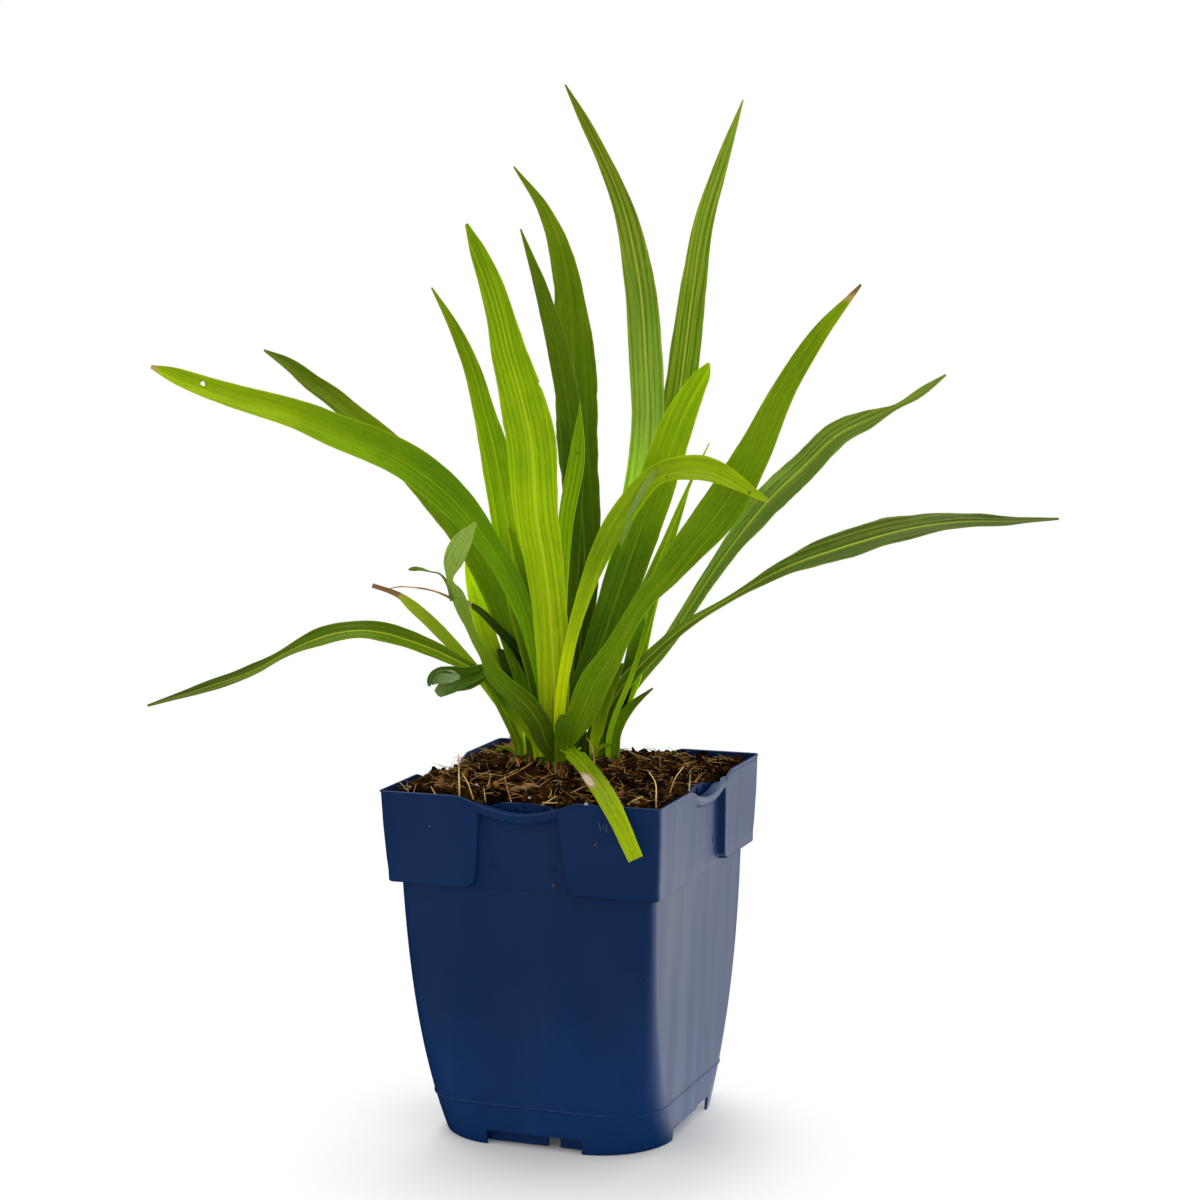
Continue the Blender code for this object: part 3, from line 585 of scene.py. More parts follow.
# small curled lobes that grow from a leaf or low on a shoot: the same, with no shoot
LOBES = [Leaf(*row) for row in (
    ("hook_fold", None, (-11.9, -0.25, 115.03), 224, 0, (0, 0), "plain", 1.1,
     ((0.06, 0.12, 0.003), (0.05, 0.11, 0.003), (0.12, 0.20, 0.05)),
     ((14.5, 26, 3.7), (19, 24.2, 5.2), (23.2, 22.7, 5.5), (27.5, 21.5, 3.7), (31, 20.5, 3.9),
      (32.6, 19.6, 2.0))),
    ("hook_rim", None, (-11.8, -0.55, 115.1), 224, 0, (0, 0), "plain", 1.1,
     ((0.05, 0.10, 0.003), (0.04, 0.09, 0.004), (0.06, 0.12, 0.02)),
     ((18.4, 26.2, 1.8), (23.2, 25.9, 2.0), (28, 26.5, 2.1), (31.9, 26.5, 1.7), (33.8, 25.4, 1.5),
      (34.7, 23.6, 1.3), (34.7, 22, 0.8))),
    ("hook_lining", None, (-11.85, -0.4, 115.05), 224, 0, (0, 0), "plain", 1.1,
     ((0.26, 0.33, 0.16), (0.20, 0.28, 0.11), (0.10, 0.17, 0.05)),
     ((25, 24, 1.0), (27, 24.4, 3.2), (30, 24.5, 4.2), (32.8, 24, 3.4), (34.3, 22.8, 1.2))),
    ("bend_lining", None, (-3.9, -3.4, 116.05), -4, 0, (0, 0), "plain", 1.1,
     ((0.19, 0.30, 0.03), (0.20, 0.32, 0.08), (0.22, 0.34, 0.05)),
     ((22, 63.3, 0.6), (24.9, 70.3, 1.9), (28.3, 77, 2.4), (31.9, 83, 2.0), (34.2, 86.4, 0.8))),
    ("curl_at_foot", None, (5.5, 4.5, 112.5), 32, 0, (0, 0), "plain", 1.1,
     ((0.12, 0.2, 0.001), (0.2, 0.3, 0.002), (0.14, 0.22, 0.001)),
     ((-1.5, -0.5, 1.4), (0.5, 2.2, 1.2), (3.2, 3.6, 0.9), (6, 3.4, 0.3))),
    ("dark_between", None, (1.5, 3, 112.5), 22, 0, (0, 0), "plain", 1.1,
     ((0.02, 0.04, 0.001), (0.03, 0.06, 0.001), (0.05, 0.10, 0.002)),
     ((-2, -2, 4.0), (-1.5, 2, 5.0), (-0.5, 6, 4.0), (0.8, 10, 1.4))),
    ("sprout_left", None, (-22, 1, 112.2), 200, 0, (0, 0), "plain", 1.1,
     ((0.1, 0.2, 0.001), (0.12, 0.24, 0.001), (0.1, 0.2, 0.001)),
     ((-3, -1.5, 1.2), (-1, 1.2, 1), (1.5, 2.2, 0.8), (4.5, 1.4, 0.3))),
)]

# how strong the waves along a leaf are, and how many
RIPPLES = {
    "leaf_right_wavy": (1.10, 9.0), "leaf_right_low": (0.90, 9.0), "leaf_low_left": (0.85, 8.0),
    "leaf_back_dark": (0.50, 6.0), "leaf_bright_broad": (0.34, 5.0), "leaf_folded_head": (0.55, 5.0),
    "leaf_curled_hook": (0.9, 4.0),
}

# how uneven a leaf's margins are
RAGGED = {
    "leaf_back_dark": 0.34, "leaf_back_fork": 0.34, "leaf_right_wavy": 0.34, "leaf_right_low": 0.30,
    "leaf_folded_head": 0.28, "leaf_left_behind": 0.24,
}

# the part along the leaf, then how far to the side and the hole's two radii in millimetres
HOLES = {
    "leaf_left_arch": (0.915, 1.3, 0.8, 0.7),
    "leaf_bent_over": (0.955, 0.55, 0.65, 0.5),
    "leaf_bright_broad": (0.690, 6.75, 0.6, 1.0),
}

OLD_LEAVES = ("leaf_stub", "leaf_curled_hook")


def smooth(points, count):
    """A curve through the points, as count positions evenly spaced along it."""
    points = np.asarray(points, float)
    lengths = np.linalg.norm(np.diff(points[:, :3], axis=0), axis=1)
    at = np.concatenate([[0.0], np.cumsum(lengths)])
    slope = np.gradient(points, at, axis=0)
    found = []
    for place in np.linspace(0.0, at[-1], count):
        left = min(max(int(np.searchsorted(at, place, side="right")) - 1, 0), len(at) - 2)
        span = at[left + 1] - at[left]
        t = (place - at[left]) / span
        weights = (2 * t**3 - 3 * t**2 + 1, t**3 - 2 * t**2 + t, 3 * t**2 - 2 * t**3, t**3 - t**2)
        sides = (points[left], slope[left] * span, points[left + 1], slope[left + 1] * span)
        found.append(sum(weight * value for weight, value in zip(weights, sides)))
    return np.array(found)


def unit(way):
    return way / np.linalg.norm(way)


def midrib(leaf, count):
    """Points along a leaf's middle, with its width as seen from the front as a fourth value."""
    turn, lay = math.radians(leaf.heading), math.radians(leaf.lean)
    foot = np.array(leaf.foot, float)
    away = np.array([math.cos(turn), math.sin(turn), 0.0])
    across = np.array([-math.sin(turn), math.cos(turn), 0.0])
    rising = across * math.sin(lay) + UP * math.cos(lay)
    if leaf.shoot is None:
        points = [[*(foot + away * reach + rising * rise), width] for reach, rise, width in leaf.spine]
        return smooth(points, count)
    drop = (leaf.foot[2] - CROWN_Z[leaf.shoot] - CROWN_GAP) / math.cos(lay)
    points = [[*(foot - rising * (drop + ROOT_DEPTH)), leaf.spine[0][2] * 0.8]]
    for reach, rise, width in leaf.spine:
        if rise > 1.0 - drop or reach:
            points.append([*(foot + away * reach + rising * rise), width])
    return smooth(points, count)


def facing_at(leaf, part):
    """The way a leaf's upper face looks, part of the way along it."""
    foot_tilt, tip_tilt = leaf.tilt
    lift = math.radians(foot_tilt + (tip_tilt - foot_tilt) * part)
    return unit(FRONT * math.cos(lift) + UP * math.sin(lift))


def leaf_guide(leaf, count=72):
    """The leaf's midrib as a chain of edges that carries its half width, facing, and tone with painted light.
    """
    line = midrib(leaf, count)
    centre = line[:, :3]
    tangent = np.gradient(centre, axis=0)
    halves, facings, tones, dry = [], [], [], []
    for at in range(count):
        along = unit(tangent[at])
        part = at / (count - 1)
        facing = facing_at(leaf, part)
        across = unit(np.cross(along, facing))
        seen_across = across - FRONT * float(across @ FRONT)
        seen_along = unit(along - FRONT * float(along @ FRONT))
        shown = np.linalg.norm(np.cross(seen_across, seen_along))
        halves.append(0.5 * max(float(line[at, 3]), 0.25) / max(shown, 0.4) * MM)
        facings.append(facing)
        tones.append([float(np.interp(part, (0.1, 0.5, 0.9), channel)) for channel in zip(*leaf.tones)])
        dry.append(min(max((part - leaf.dry_from) * 22.0 + 0.5, 0.0), 1.0))
    mesh = mesh_of(leaf.name + "_guide", centre, [], [(at, at + 1) for at in range(count - 1)])
    hold(mesh, "half_width", "FLOAT", halves)
    hold(mesh, "facing", "FLOAT_VECTOR", facings)
    hold(mesh, "tone", "FLOAT_VECTOR", tones)
    hold(mesh, "dry", "FLOAT", dry)
    return mesh


def blade_tree():
    """Sweeps a folded, faintly rippled blade along a midrib."""
    tree, given = new_tree("leaf_blade", {
        "Stations": "Int", "Columns": "Int", "Fold": "Float", "Ripple": "Float", "Ripple count": "Float",
        "Raggedness": "Float", "Seed": "Float", "Skin": "Material",
    })
    curve = one(tree, "GeometryNodeMeshToCurve", {"Mesh": given["Geometry"]})
    sizes = {"Size X": 1.0, "Size Y": 1.0, "Vertices X": given["Columns"], "Vertices Y": given["Stations"]}
    grid = add(tree, "GeometryNodeMeshGrid", sizes).outputs
    x, y, _ = split(tree, one(tree, "GeometryNodeInputPosition"))
    along = calc(tree, "ADD", y, 0.5, clamp=True)
    across = times(tree, x, 2.0)

    def read(label, kind):
        value = one(tree, "GeometryNodeInputNamedAttribute", {"Name": label}, data_type=kind)
        inputs = {"Curves": curve, "Value": value, "Factor": along}
        settings = {"data_type": kind, "mode": "FACTOR", "use_all_curves": True}
        return add(tree, "GeometryNodeSampleCurve", inputs, **settings).outputs

    def store(geometry, label, value, kind="FLOAT", domain="POINT"):
        inputs = {"Geometry": geometry, "Name": label, "Value": value}
        return one(tree, "GeometryNodeStoreNamedAttribute", inputs, data_type=kind, domain=domain)

    width_read = read("half_width", "FLOAT")
    side = times(tree, calc(tree, "SIGN", across), 3.0)
    edge_place = joined(tree, side, times(tree, along, 16.0), given["Seed"])
    uneven = less(tree, noise(tree, edge_place, 1.0, 3.0, 0.6), 0.5)
    uneven = plus(tree, 1.0, times(tree, uneven, given["Raggedness"]))
    half = times(tree, width_read["Value"], uneven)
    tangent = width_read["Tangent"]
    facing = read("facing", "FLOAT_VECTOR")["Value"]
    side = vector(tree, "NORMALIZE", vector(tree, "CROSS_PRODUCT", tangent, facing))
    normal = vector(tree, "CROSS_PRODUCT", side, tangent)
    away = calc(tree, "ABSOLUTE", across)
    fold = times(tree, calc(tree, "POWER", away, 1.5), given["Fold"])
    wave_place = joined(tree, times(tree, across, 0.6), times(tree, along, given["Ripple count"]))
    inputs = {"W": given["Seed"], "Vector": wave_place, "Scale": 1.0, "Detail": 1.0}
    sway = one(tree, "ShaderNodeTexNoise", inputs, noise_dimensions="4D")
    ripple = times(tree, less(tree, sway, 0.5), given["Ripple"])
    ripple = times(tree, ripple, plus(tree, away, 0.3))
    lift = times(tree, plus(tree, fold, ripple), half)
    place = vector(tree, "ADD", width_read["Position"], scaled(tree, side, times(tree, across, half)))
    place = vector(tree, "ADD", place, scaled(tree, normal, lift))
    stored = store(grid["Mesh"], "UVMap", grid["UV Map"], "FLOAT2", "CORNER")
    stored = store(stored, "broad", half)
    stored = store(stored, "own", given["Seed"])
    for label, kind in (("tone", "FLOAT_VECTOR"), ("dry", "FLOAT")):
        stored = store(stored, label, read(label, kind)["Value"], kind)
    moved = one(tree, "GeometryNodeSetPosition", {"Geometry": stored, "Position": place})
    shaded = one(tree, "GeometryNodeSetShadeSmooth", {"Geometry": moved})
    close_tree(tree, shaded, given["Skin"])
    return tree


def punched(blade, leaf, part, offset, wide, tall):
    """Cuts a small hole, or a bite where it meets the margin, through a blade."""
    line = midrib(leaf, 201)[:, :3]
    at = int(part * 200)
    along = unit(line[at + 1] - line[at - 1])
    side = unit(np.cross(along, facing_at(leaf, part)))
    rings = []
    for depth in (-5.0, 5.0):
        ring = []
        for angle in angles(18):
            rough = 1.0 + 0.10 * math.sin(3 * angle + part * 9.0)
            flat = side * wide * math.cos(angle) + along * tall * math.sin(angle)
            ring.append(line[at] + side * offset + FRONT * depth + flat * rough)
        rings.append(ring)
    cutter = new_object("cutter", mesh_of("cutter", *loft(rings)))
    shape = bmesh.new()
    shape.from_mesh(cutter.data)
    bmesh.ops.recalc_face_normals(shape, faces=shape.faces)
    shape.to_mesh(cutter.data)
    shape.free()
    cut_by(blade, cutter)
    settled(blade)
    bpy.data.objects.remove(cutter)


def healed(mesh):
    """Gives each corner that a cut made the colour and size values of its nearest older corner."""
    def read(source, field, width):
        values = np.empty(len(source) * width, np.float32)
        source.foreach_get(field, values)
        return values.reshape(-1, width)

    place = read(mesh.vertices, "co", 3)
    kinds = {"tone": ("vector", 3), "broad": ("value", 1), "own": ("value", 1), "dry": ("value", 1)}
    held = {label: read(mesh.attributes[label].data, *kind) for label, kind in kinds.items()}
    blank = held["broad"][:, 0] <= 0.0
    sound = np.flatnonzero(~blank)
    for at in np.flatnonzero(blank):
        near = sound[np.argmin(((place[sound] - place[at]) ** 2).sum(axis=1))]
        for values in held.values():
            values[at] = values[near]
    for label, values in held.items():
        mesh.attributes[label].data.foreach_set(kinds[label][0], values.ravel())


def build_leaves(skins):
    tree = blade_tree()
    for number, leaf in enumerate(LEAVES):
        blade = new_object(leaf.name + "_blade", leaf_guide(leaf))
        ripple, count = RIPPLES.get(leaf.name, (0.32, 4.0))
        grown(blade, tree, {
            "Stations": 96, "Columns": 13, "Fold": 0.26, "Ripple": ripple, "Ripple count": count,
            "Raggedness": RAGGED.get(leaf.name, 0.16), "Seed": 3.7 * number, "Skin": skins[leaf.skin],
        })
        blade.data.materials.append(skins["under"])
        walled(blade, LEAF_WALL).material_offset = 1
        if leaf.name in HOLES:
            punched(blade, leaf, *HOLES[leaf.name])
            healed(blade.data)
        finished(blade, "leaf_old" if leaf.name in OLD_LEAVES else "leaf_green", leaf.name)


def build_lobes(skins):
    """The folds of the hooked leaf, the lining of the bent one, and weak blades low on the clump."""
    tree = blade_tree()
    for number, leaf in enumerate(LOBES):
        lobe = new_object(leaf.name, leaf_guide(leaf, 40))
        grown(lobe, tree, {
            "Stations": 40, "Columns": 9, "Fold": 0.30, "Ripple": 0.5, "Ripple count": 3.0,
            "Raggedness": 0.2, "Seed": 1.9 * number, "Skin": skins[leaf.skin],
        })
        walled(lobe, LOBE_WALL)
        finished(lobe, "leaf_old")


# ---------------------------------------------------------------- pot


def body_size(z):
    """The body's half width and corner radius at a height: the corners get rounder towards the foot."""
    drop = min(max((BODY_Z - z) / BODY_FALL, 0.0), 1.0)
    tight = 1.03 + 22.6 * drop**2.74
    soft = 3.9 + 19.73 * drop**2.9
    return BODY_HALF - BODY_SHRINK * drop**1.1 + 0.23 * (soft - tight), soft


def dip(along):
    """How far the rim sinks in the middle of a side."""
    return DIP * max(0.0, 1.0 - (abs(along) / DIP_HALF) ** 2) ** 1.3


def columns(edge):
    """Distances from the middle of a side, close at the panel's step, with the share of the recess at each."""
    inside = ((0.0, 1.0), (0.2, 1.0), (0.4, 1.0), (0.6, 1.0), (0.8, 1.0), (0.93, 1.0), (0.985, 0.99))
    step = ((0.0, 0.96), (0.2, 0.80), (0.42, 0.50), (0.65, 0.20), (0.85, 0.04), (1.0, 0.0), (1.4, 0.0))
    found = [(edge * part, keep) for part, keep in inside]
    found += [(edge + past, keep) for past, keep in step]
    beyond = edge + step[-1][0]
    wide = PANEL_REACH - edge - 1.4
    return found + [(beyond + wide * part, 0.0) for part in (0.12, 0.3, 0.5, 0.7, 0.85, 1.0)]


def quarter(x, y, turn):
    """A place carried round by a number of quarter turns."""
    angle = math.radians(90 * turn)
    cos, sin = math.cos(angle), math.sin(angle)
    return x * cos - y * sin, x * sin + y * cos


def turned(points, turn):
    return [(*quarter(x, y, turn), z) for x, y, z in points]


def outline(half, radius, edge=PANEL_BOTTOM, recess=0.0):
    """One rounded square, with its sides set in by recess over the panel."""
    straight = half - radius
    side = columns(edge)
    fit = min(1.0, (straight - 0.1) / side[-1][0])
    rows = [(along * fit, recess * keep) for along, keep in side]
    if straight > 22.0:
        rows += [(PANEL_REACH + (straight - PANEL_REACH) * part, 0.0) for part in (0.2, 0.45, 0.7, 0.92)]
    else:
        rows += [(straight - 0.1 + 0.02 * (step + 1), 0.0) for step in range(4)]
    rows = [(-along, depth) for along, depth in reversed(rows[1:])] + rows
    points = []
    for turn in range(4):
        part = [(along, -(half - depth)) for along, depth in rows]
        for step in range(CORNER_STEPS + 1):
            swing = math.radians(-90 + 90 * step / CORNER_STEPS)
            part.append((straight + radius * math.cos(swing), -straight + radius * math.sin(swing)))
        points += [quarter(x, y, turn) for x, y in part]
    return points


def along_side(x, y):
    return min(abs(x), abs(y))


def pot_shell():
    """Rings from the boss under the base over the foot, up the outside, over the rim and down the inside."""
    rings = []

    def flat(points, z):
        rings.append([(x, y, z) for x, y in points])

    def body(z, inset=0.0, proud=0.0):
        half, radius = body_size(z)
        flat(outline(half - inset + proud, max(radius - inset, 0.4)), z)

    # the boss and the skirt under the base
    square = outline(40.0, 10.0)
    for radius, z in ((BOSS_RADIUS - 0.4, 0.0), (BOSS_RADIUS, 0.4), (BOSS_RADIUS, SKIRT_Z)):
        flat([(radius * x / math.hypot(x, y), radius * y / math.hypot(x, y)) for x, y in square], z)
    inner = SKIRT_HALF - 1.2
    for half, z in ((inner, SKIRT_Z), (inner, 0.4), (SKIRT_HALF, 0.4), (SKIRT_HALF, SKIRT_Z)):
        flat(outline(half, half - 13.4), z)
    # the body, with a thin raised line round its foot
    for z, inset in ((SKIRT_Z, WALL), (0.25, WALL), (0.0, WALL - 0.2), (0.0, 0.2)):
        body(z, inset)
    for z in (0.25, 1.5, 3.5, 5.0, 7.0, 9.0, 11.0, 12.3):
        body(z)
    for z, proud in ((12.4, 0.10), (12.6, 0.30), (12.85, 0.24), (13.05, 0.0)):
        body(z, 0.0, proud)
    for z in (14.5, 17.0, 20.0, 24.0, 28.0, 33.0, 38.0, 44.0, 50.0, 57.0, 64.0, 71.0, 77.0, 79.6):
        body(z)
    body(BODY_Z - 0.1, 0.0, 0.05)
    # the collar: recessed panels whose neighbours have round lower corners
    flare = 2.3
    for inset, z in ((2.6, 80.45), (0.35, 80.55), (0.1, 80.75), (0.0, 81.1)):
        recess = max(PANEL_DEPTH - inset, 0.0)
        flat(outline(COLLAR_HALF - inset, max(COLLAR_RADIUS - inset, 0.5), PANEL_BOTTOM + flare, recess), z)
    for lift in (0.35, 0.8, 1.4, 2.1, 3.0):
        share = max(0.0, 2.5 - lift) / 2.5
        edge = PANEL_BOTTOM + flare * (1.0 - math.sqrt(max(0.0, 1.0 - share * share)))
        flat(outline(COLLAR_HALF + 0.02 * lift, COLLAR_RADIUS, edge, PANEL_DEPTH), COLLAR_FOOT + lift)
    for z in (88.0, 93.0, 98.0):
        part = (z - COLLAR_FOOT) / 20.0
        flat(outline(COLLAR_HALF + 1.15 * part, COLLAR_RADIUS, PANEL_BOTTOM - 2.0 * part, PANEL_DEPTH), z)
    # the lip rolls out over each panel, and its rim dips in the middle
    lip = ((0.0, PANEL_DEPTH), (0.15, 1.9), (0.25, 1.1), (0.6, 0.35), (1.2, 0.05), (1.9, 0.0), (2.5, 0.25))
    for lift, inward in lip:
        ring = []
        for x, y in outline(RIM_HALF - 0.4 + 0.06 * lift, COLLAR_RADIUS, PANEL_TOP + 0.25 * lift, inward):
            aside = along_side(x, y)
            low = 100.5 + 2.6 * min(1.0, aside / 13.0) ** 2
            high = RIM_Z - dip(aside) - 0.7
            ring.append((x, y, low + (high - low) * lift / 2.6))
        rings.append(ring)
    rims = ((0.0, 0.35, 0.45), (0.08, 0.45, 0.12), (0.35, 0.9, 0.0), (0.65, 2.2, 0.0), (0.85, 2.75, 0.15))
    for inset, inward, below in rims:
        points = outline(RIM_HALF - inset, max(COLLAR_RADIUS - inset, 0.6), PANEL_TOP + 1.0, inward)
        rings.append([(x, y, RIM_Z - dip(along_side(x, y)) - below) for x, y in points])
    # the inside
    flat(outline(RIM_HALF - 0.4 - WALL, 1.1, PANEL_TOP + WALL, PANEL_DEPTH + 0.1), 99.5)
    flat(outline(COLLAR_HALF - WALL, 1.1, PANEL_BOTTOM + WALL, PANEL_DEPTH), 82.0)
    for z in (81.4, 60.0, 40.0, 20.0, 5.0):
        body(z, WALL)
    return loft(rings)


def pocket_shell():
    """The pocket for a label behind the lip: a thin wall with round ends."""
    outside, inside = [], []
    for at in range(41):
        angle = math.pi * at / 40
        along = math.copysign(abs(math.cos(angle)) ** 0.45, math.cos(angle))
        depth = (POCKET_FRONT - POCKET_BACK) * abs(math.sin(angle)) ** 0.35
        outside.append((along * POCKET_HALF, -(POCKET_FRONT - depth)))
        inside.append((along * (POCKET_HALF - 0.85), -(POCKET_FRONT - max(depth - 0.9, 0.0))))
    ring = outside + inside[::-1]
    rings = [[(x, y, POCKET_FOOT) for x, y in ring]]
    for below in (0.3, 0.0):
        rings.append([(x, y, POCKET_Z - below - 1.1 * (x / POCKET_HALF) ** 4) for x, y in ring])
    return loft(rings)


def brick(low, high):
    (x0, y0, z0), (x1, y1, z1) = low, high
    return loft([[(x0, y0, z), (x1, y0, z), (x1, y1, z), (x0, y1, z)] for z in (z0, z1)])


def build_pot(skin):
    """The pot's shell, cut by its foot notches and drain holes, with its pockets and their ribs."""
    pot = new_object("pot_moulding", mesh_of("pot_moulding", *pot_shell()))
    notch = brick((-NOTCH_HALF, -44.0, -1.0), (NOTCH_HALF, -34.6, NOTCH_Z))
    circle = [
        (DRAIN_OUT + DRAIN_RADIUS * math.cos(a), DRAIN_OUT + DRAIN_RADIUS * math.sin(a)) for a in angles(32)
    ]
    drain = loft([[(x, y, z) for x, y in circle] for z in (-1.0, 8.0)])
    skirt_gap = brick((3.2, -34.0, -1.0), (7.4, -31.0, 3.9))
    cuts = [(shape, turn) for turn in range(4) for shape in (notch, drain)]
    cutters = []
    for (points, faces), turn in cuts + [(skirt_gap, 0), (skirt_gap, 2)]:
        cutter = new_object("cutter", mesh_of("cutter", turned(points, turn), faces))
        cut_by(pot, cutter)
        cutters.append(cutter)
    settled(pot)
    for cutter in cutters:
        bpy.data.objects.remove(cutter)
    # each pocket stands on a shelf and has three ribs behind it
    pieces = [pocket_shell(), brick((-9.6, -41.4, POCKET_FOOT), (9.6, -39.0, POCKET_FOOT + 1.0))]
    for middle in (-6.9, 0.1, 6.4):
        pieces.append(brick((middle - 0.28, -40.35, 87.5), (middle + 0.28, -39.5, 105.9)))
    extra = bmesh.new()
    extra.from_mesh(pot.data)
    for turn in range(4):
        for points, faces in pieces:
            extra.from_mesh(mesh_of("pocket", turned(points, turn), faces))
    extra.to_mesh(pot.data)
    extra.free()
    painted(pot, skin)
    pot.data.set_sharp_from_angle(angle=math.radians(38))
    finished(pot, "pot_plastic", "pot")


# ---------------------------------------------------------------- soil


def mound(x, y):
    """How high the soil stands: low at the rim, highest among the shoots."""
    far = math.hypot((x + 6.0) / 30.0, (y - 8.0) / 30.0)
    edge = 106.9 - 0.012 * x - 0.012 * y
    ripple = 0.45 * math.sin(0.31 * x + 0.8) * math.cos(0.27 * y - 0.4)
    return edge + 3.6 * math.exp(-far * far) + ripple


def soil_body():
    """Peat that fills the pot: a plain lower part, and a fine grid over the top."""
    size = SOIL_CELLS
    wide = size + 1
    points = []
    for row in range(wide):
        for column in range(wide):
            x = SOIL_HALF * (2.0 * column / size - 1.0)
            y = SOIL_HALF * (2.0 * row / size - 1.0)
            z = mound(x, y)
            edge = max(abs(x), abs(y))
            if edge > SOIL_FLAT:
                z = min(z, SOIL_EDGE_Z)
            # it steps down behind the pockets
            if edge > SOIL_SHELF and along_side(x, y) < SOIL_SHELF_HALF:
                z = 105.0 if edge < 39.0 else 103.0
                scale = (SOIL_SHELF + 0.2) / edge
                x, y = (x * scale, y) if abs(x) > abs(y) else (x, y * scale)
            points.append((x, y, z))
    faces = []
    for row in range(size):
        for at in range(row * wide, row * wide + size):
            faces.append((at, at + 1, at + wide + 1, at + wide))
    border = list(range(size))
    border += [row * wide + size for row in range(size)]
    border += [size * wide + column for column in range(size, 0, -1)]
    border += [row * wide for row in range(size, 0, -1)]
    last = border
    for z in (98.0, 82.5, 60.0, 40.0, 20.0, SOIL_FOOT):
        half, radius = body_size(z)
        half, radius = half - SOIL_GAP, max(radius - SOIL_GAP, 0.4)
        ring = []
        for at in border:
            x, y, _ = points[at]
            far = max(abs(x), abs(y))
            x, y = x * half / far, y * half / far
            over_x, over_y = abs(x) - half + radius, abs(y) - half + radius
            if over_x > 0.0 and over_y > 0.0:
                pull = radius / math.hypot(over_x, over_y)
                x = math.copysign(half - radius + over_x * pull, x)
                y = math.copysign(half - radius + over_y * pull, y)
            ring.append(len(points))
            points.append((x, y, z))
        for step in range(len(border)):
            after = (step + 1) % len(border)
            faces.append((ring[step], ring[after], last[after], last[step]))
        last = ring
    faces.append(tuple(reversed(last)))
    return points, faces


def soil_tree():
    """Roughens the top of the soil and scatters crumbs over it."""
    tree, given = new_tree("peat", {
        "Lump height": "Float", "Crumbs per square metre": "Float", "Crumb size": "Float", "Seed": "Int",
        "Skin": "Material", "Crumb skin": "Material",
    })
    place = one(tree, "GeometryNodeInputPosition")
    height = split(tree, place)[2]
    top = band(tree, height, 0.1000, 0.1046)
    coarse = less(tree, noise(tree, place, 125.0, 3.0, 0.6), 0.5)
    medium = less(tree, noise(tree, place, 330.0, 4.0, 0.65), 0.5)
    uneven = plus(tree, coarse, times(tree, medium, 0.9))
    rise = times(tree, times(tree, uneven, given["Lump height"]), times(tree, top, 3.0))
    offset = joined(tree, 0.0, 0.0, rise)
    rough = one(tree, "GeometryNodeSetPosition", {"Geometry": given["Geometry"], "Offset": offset})
    smoothed = one(tree, "GeometryNodeSetShadeSmooth", {"Geometry": rough})
    ground = one(tree, "GeometryNodeSetMaterial", {"Geometry": smoothed, "Material": given["Skin"]})
    facing_up = split(tree, one(tree, "GeometryNodeInputNormal"))[2]
    level, high = calc(tree, "GREATER_THAN", facing_up, 0.3), calc(tree, "GREATER_THAN", height, 0.1045)
    scatter = add(tree, "GeometryNodeDistributePointsOnFaces", {
        "Mesh": ground, "Selection": times(tree, level, high),
        "Density": given["Crumbs per square metre"], "Seed": given["Seed"],
    })

    def any_of(low, high, seed):
        inputs = {0: low, 1: high, "Seed": seed}
        return one(tree, "FunctionNodeRandomValue", inputs, data_type="FLOAT_VECTOR")

    chunk = one(tree, "GeometryNodeMeshIcoSphere", {"Radius": 1.0, "Subdivisions": 1})
    spin = any_of((0.0, 0.0, 0.0), (6.3, 6.3, 6.3), 11)
    stretch = any_of((0.35, 0.3, 0.25), (1.5, 1.0, 0.8), 12)
    amount = add(tree, "FunctionNodeRandomValue", {2: 0.25, 3: 1.0, "Seed": 13}, data_type="FLOAT").outputs[1]
    amount = times(tree, calc(tree, "POWER", amount, 2.2), given["Crumb size"])
    placed = one(tree, "GeometryNodeInstanceOnPoints", {
        "Points": scatter.outputs["Points"], "Instance": chunk,
        "Rotation": spin, "Scale": scaled(tree, stretch, amount),
    })
    real = one(tree, "GeometryNodeRealizeInstances", {"Geometry": placed})
    crumbs = one(tree, "GeometryNodeSetMaterial", {"Geometry": real, "Material": given["Crumb skin"]})
    together = add(tree, "GeometryNodeJoinGeometry")
    tree.links.new(ground, together.inputs[0])
    tree.links.new(crumbs, together.inputs[0])
    output = tree.nodes.new("NodeGroupOutput")
    tree.links.new(together.outputs[0], output.inputs[0])
    return tree


def build_soil(skin, crumb_skin):
    soil = new_object("peat", mesh_of("peat", *soil_body()))
    grown(soil, soil_tree(), {
        "Lump height": 0.0023, "Crumbs per square metre": 640000.0, "Crumb size": 0.0014, "Seed": 4,
        "Skin": skin, "Crumb skin": crumb_skin,
    })
    finished(soil, "soil", "soil")


def fibre_tree():
    """Thin round stalks along chains of edges, each as thick as its points say."""
    tree, given = new_tree("stalks", {"Sides": "Int", "Skin": "Material"})
    curve = one(tree, "GeometryNodeMeshToCurve", {"Mesh": given["Geometry"]})
    width = one(tree, "GeometryNodeInputNamedAttribute", {"Name": "thickness"}, data_type="FLOAT")
    sized = one(tree, "GeometryNodeSetCurveRadius", {"Curve": curve, "Radius": width})
    shape = {"Resolution": given["Sides"], "Radius": 1.0}
    circle = one(tree, "GeometryNodeCurvePrimitiveCircle", shape)
    sweep = add(tree, "GeometryNodeCurveToMesh", {"Curve": sized, "Profile Curve": circle, "Fill Caps": True})
    if "Scale" in sweep.inputs:
        tree.links.new(width, sweep.inputs["Scale"])
    shaded = one(tree, "GeometryNodeSetShadeSmooth", {"Geometry": sweep.outputs[0]})
    close_tree(tree, shaded, given["Skin"])
    return tree


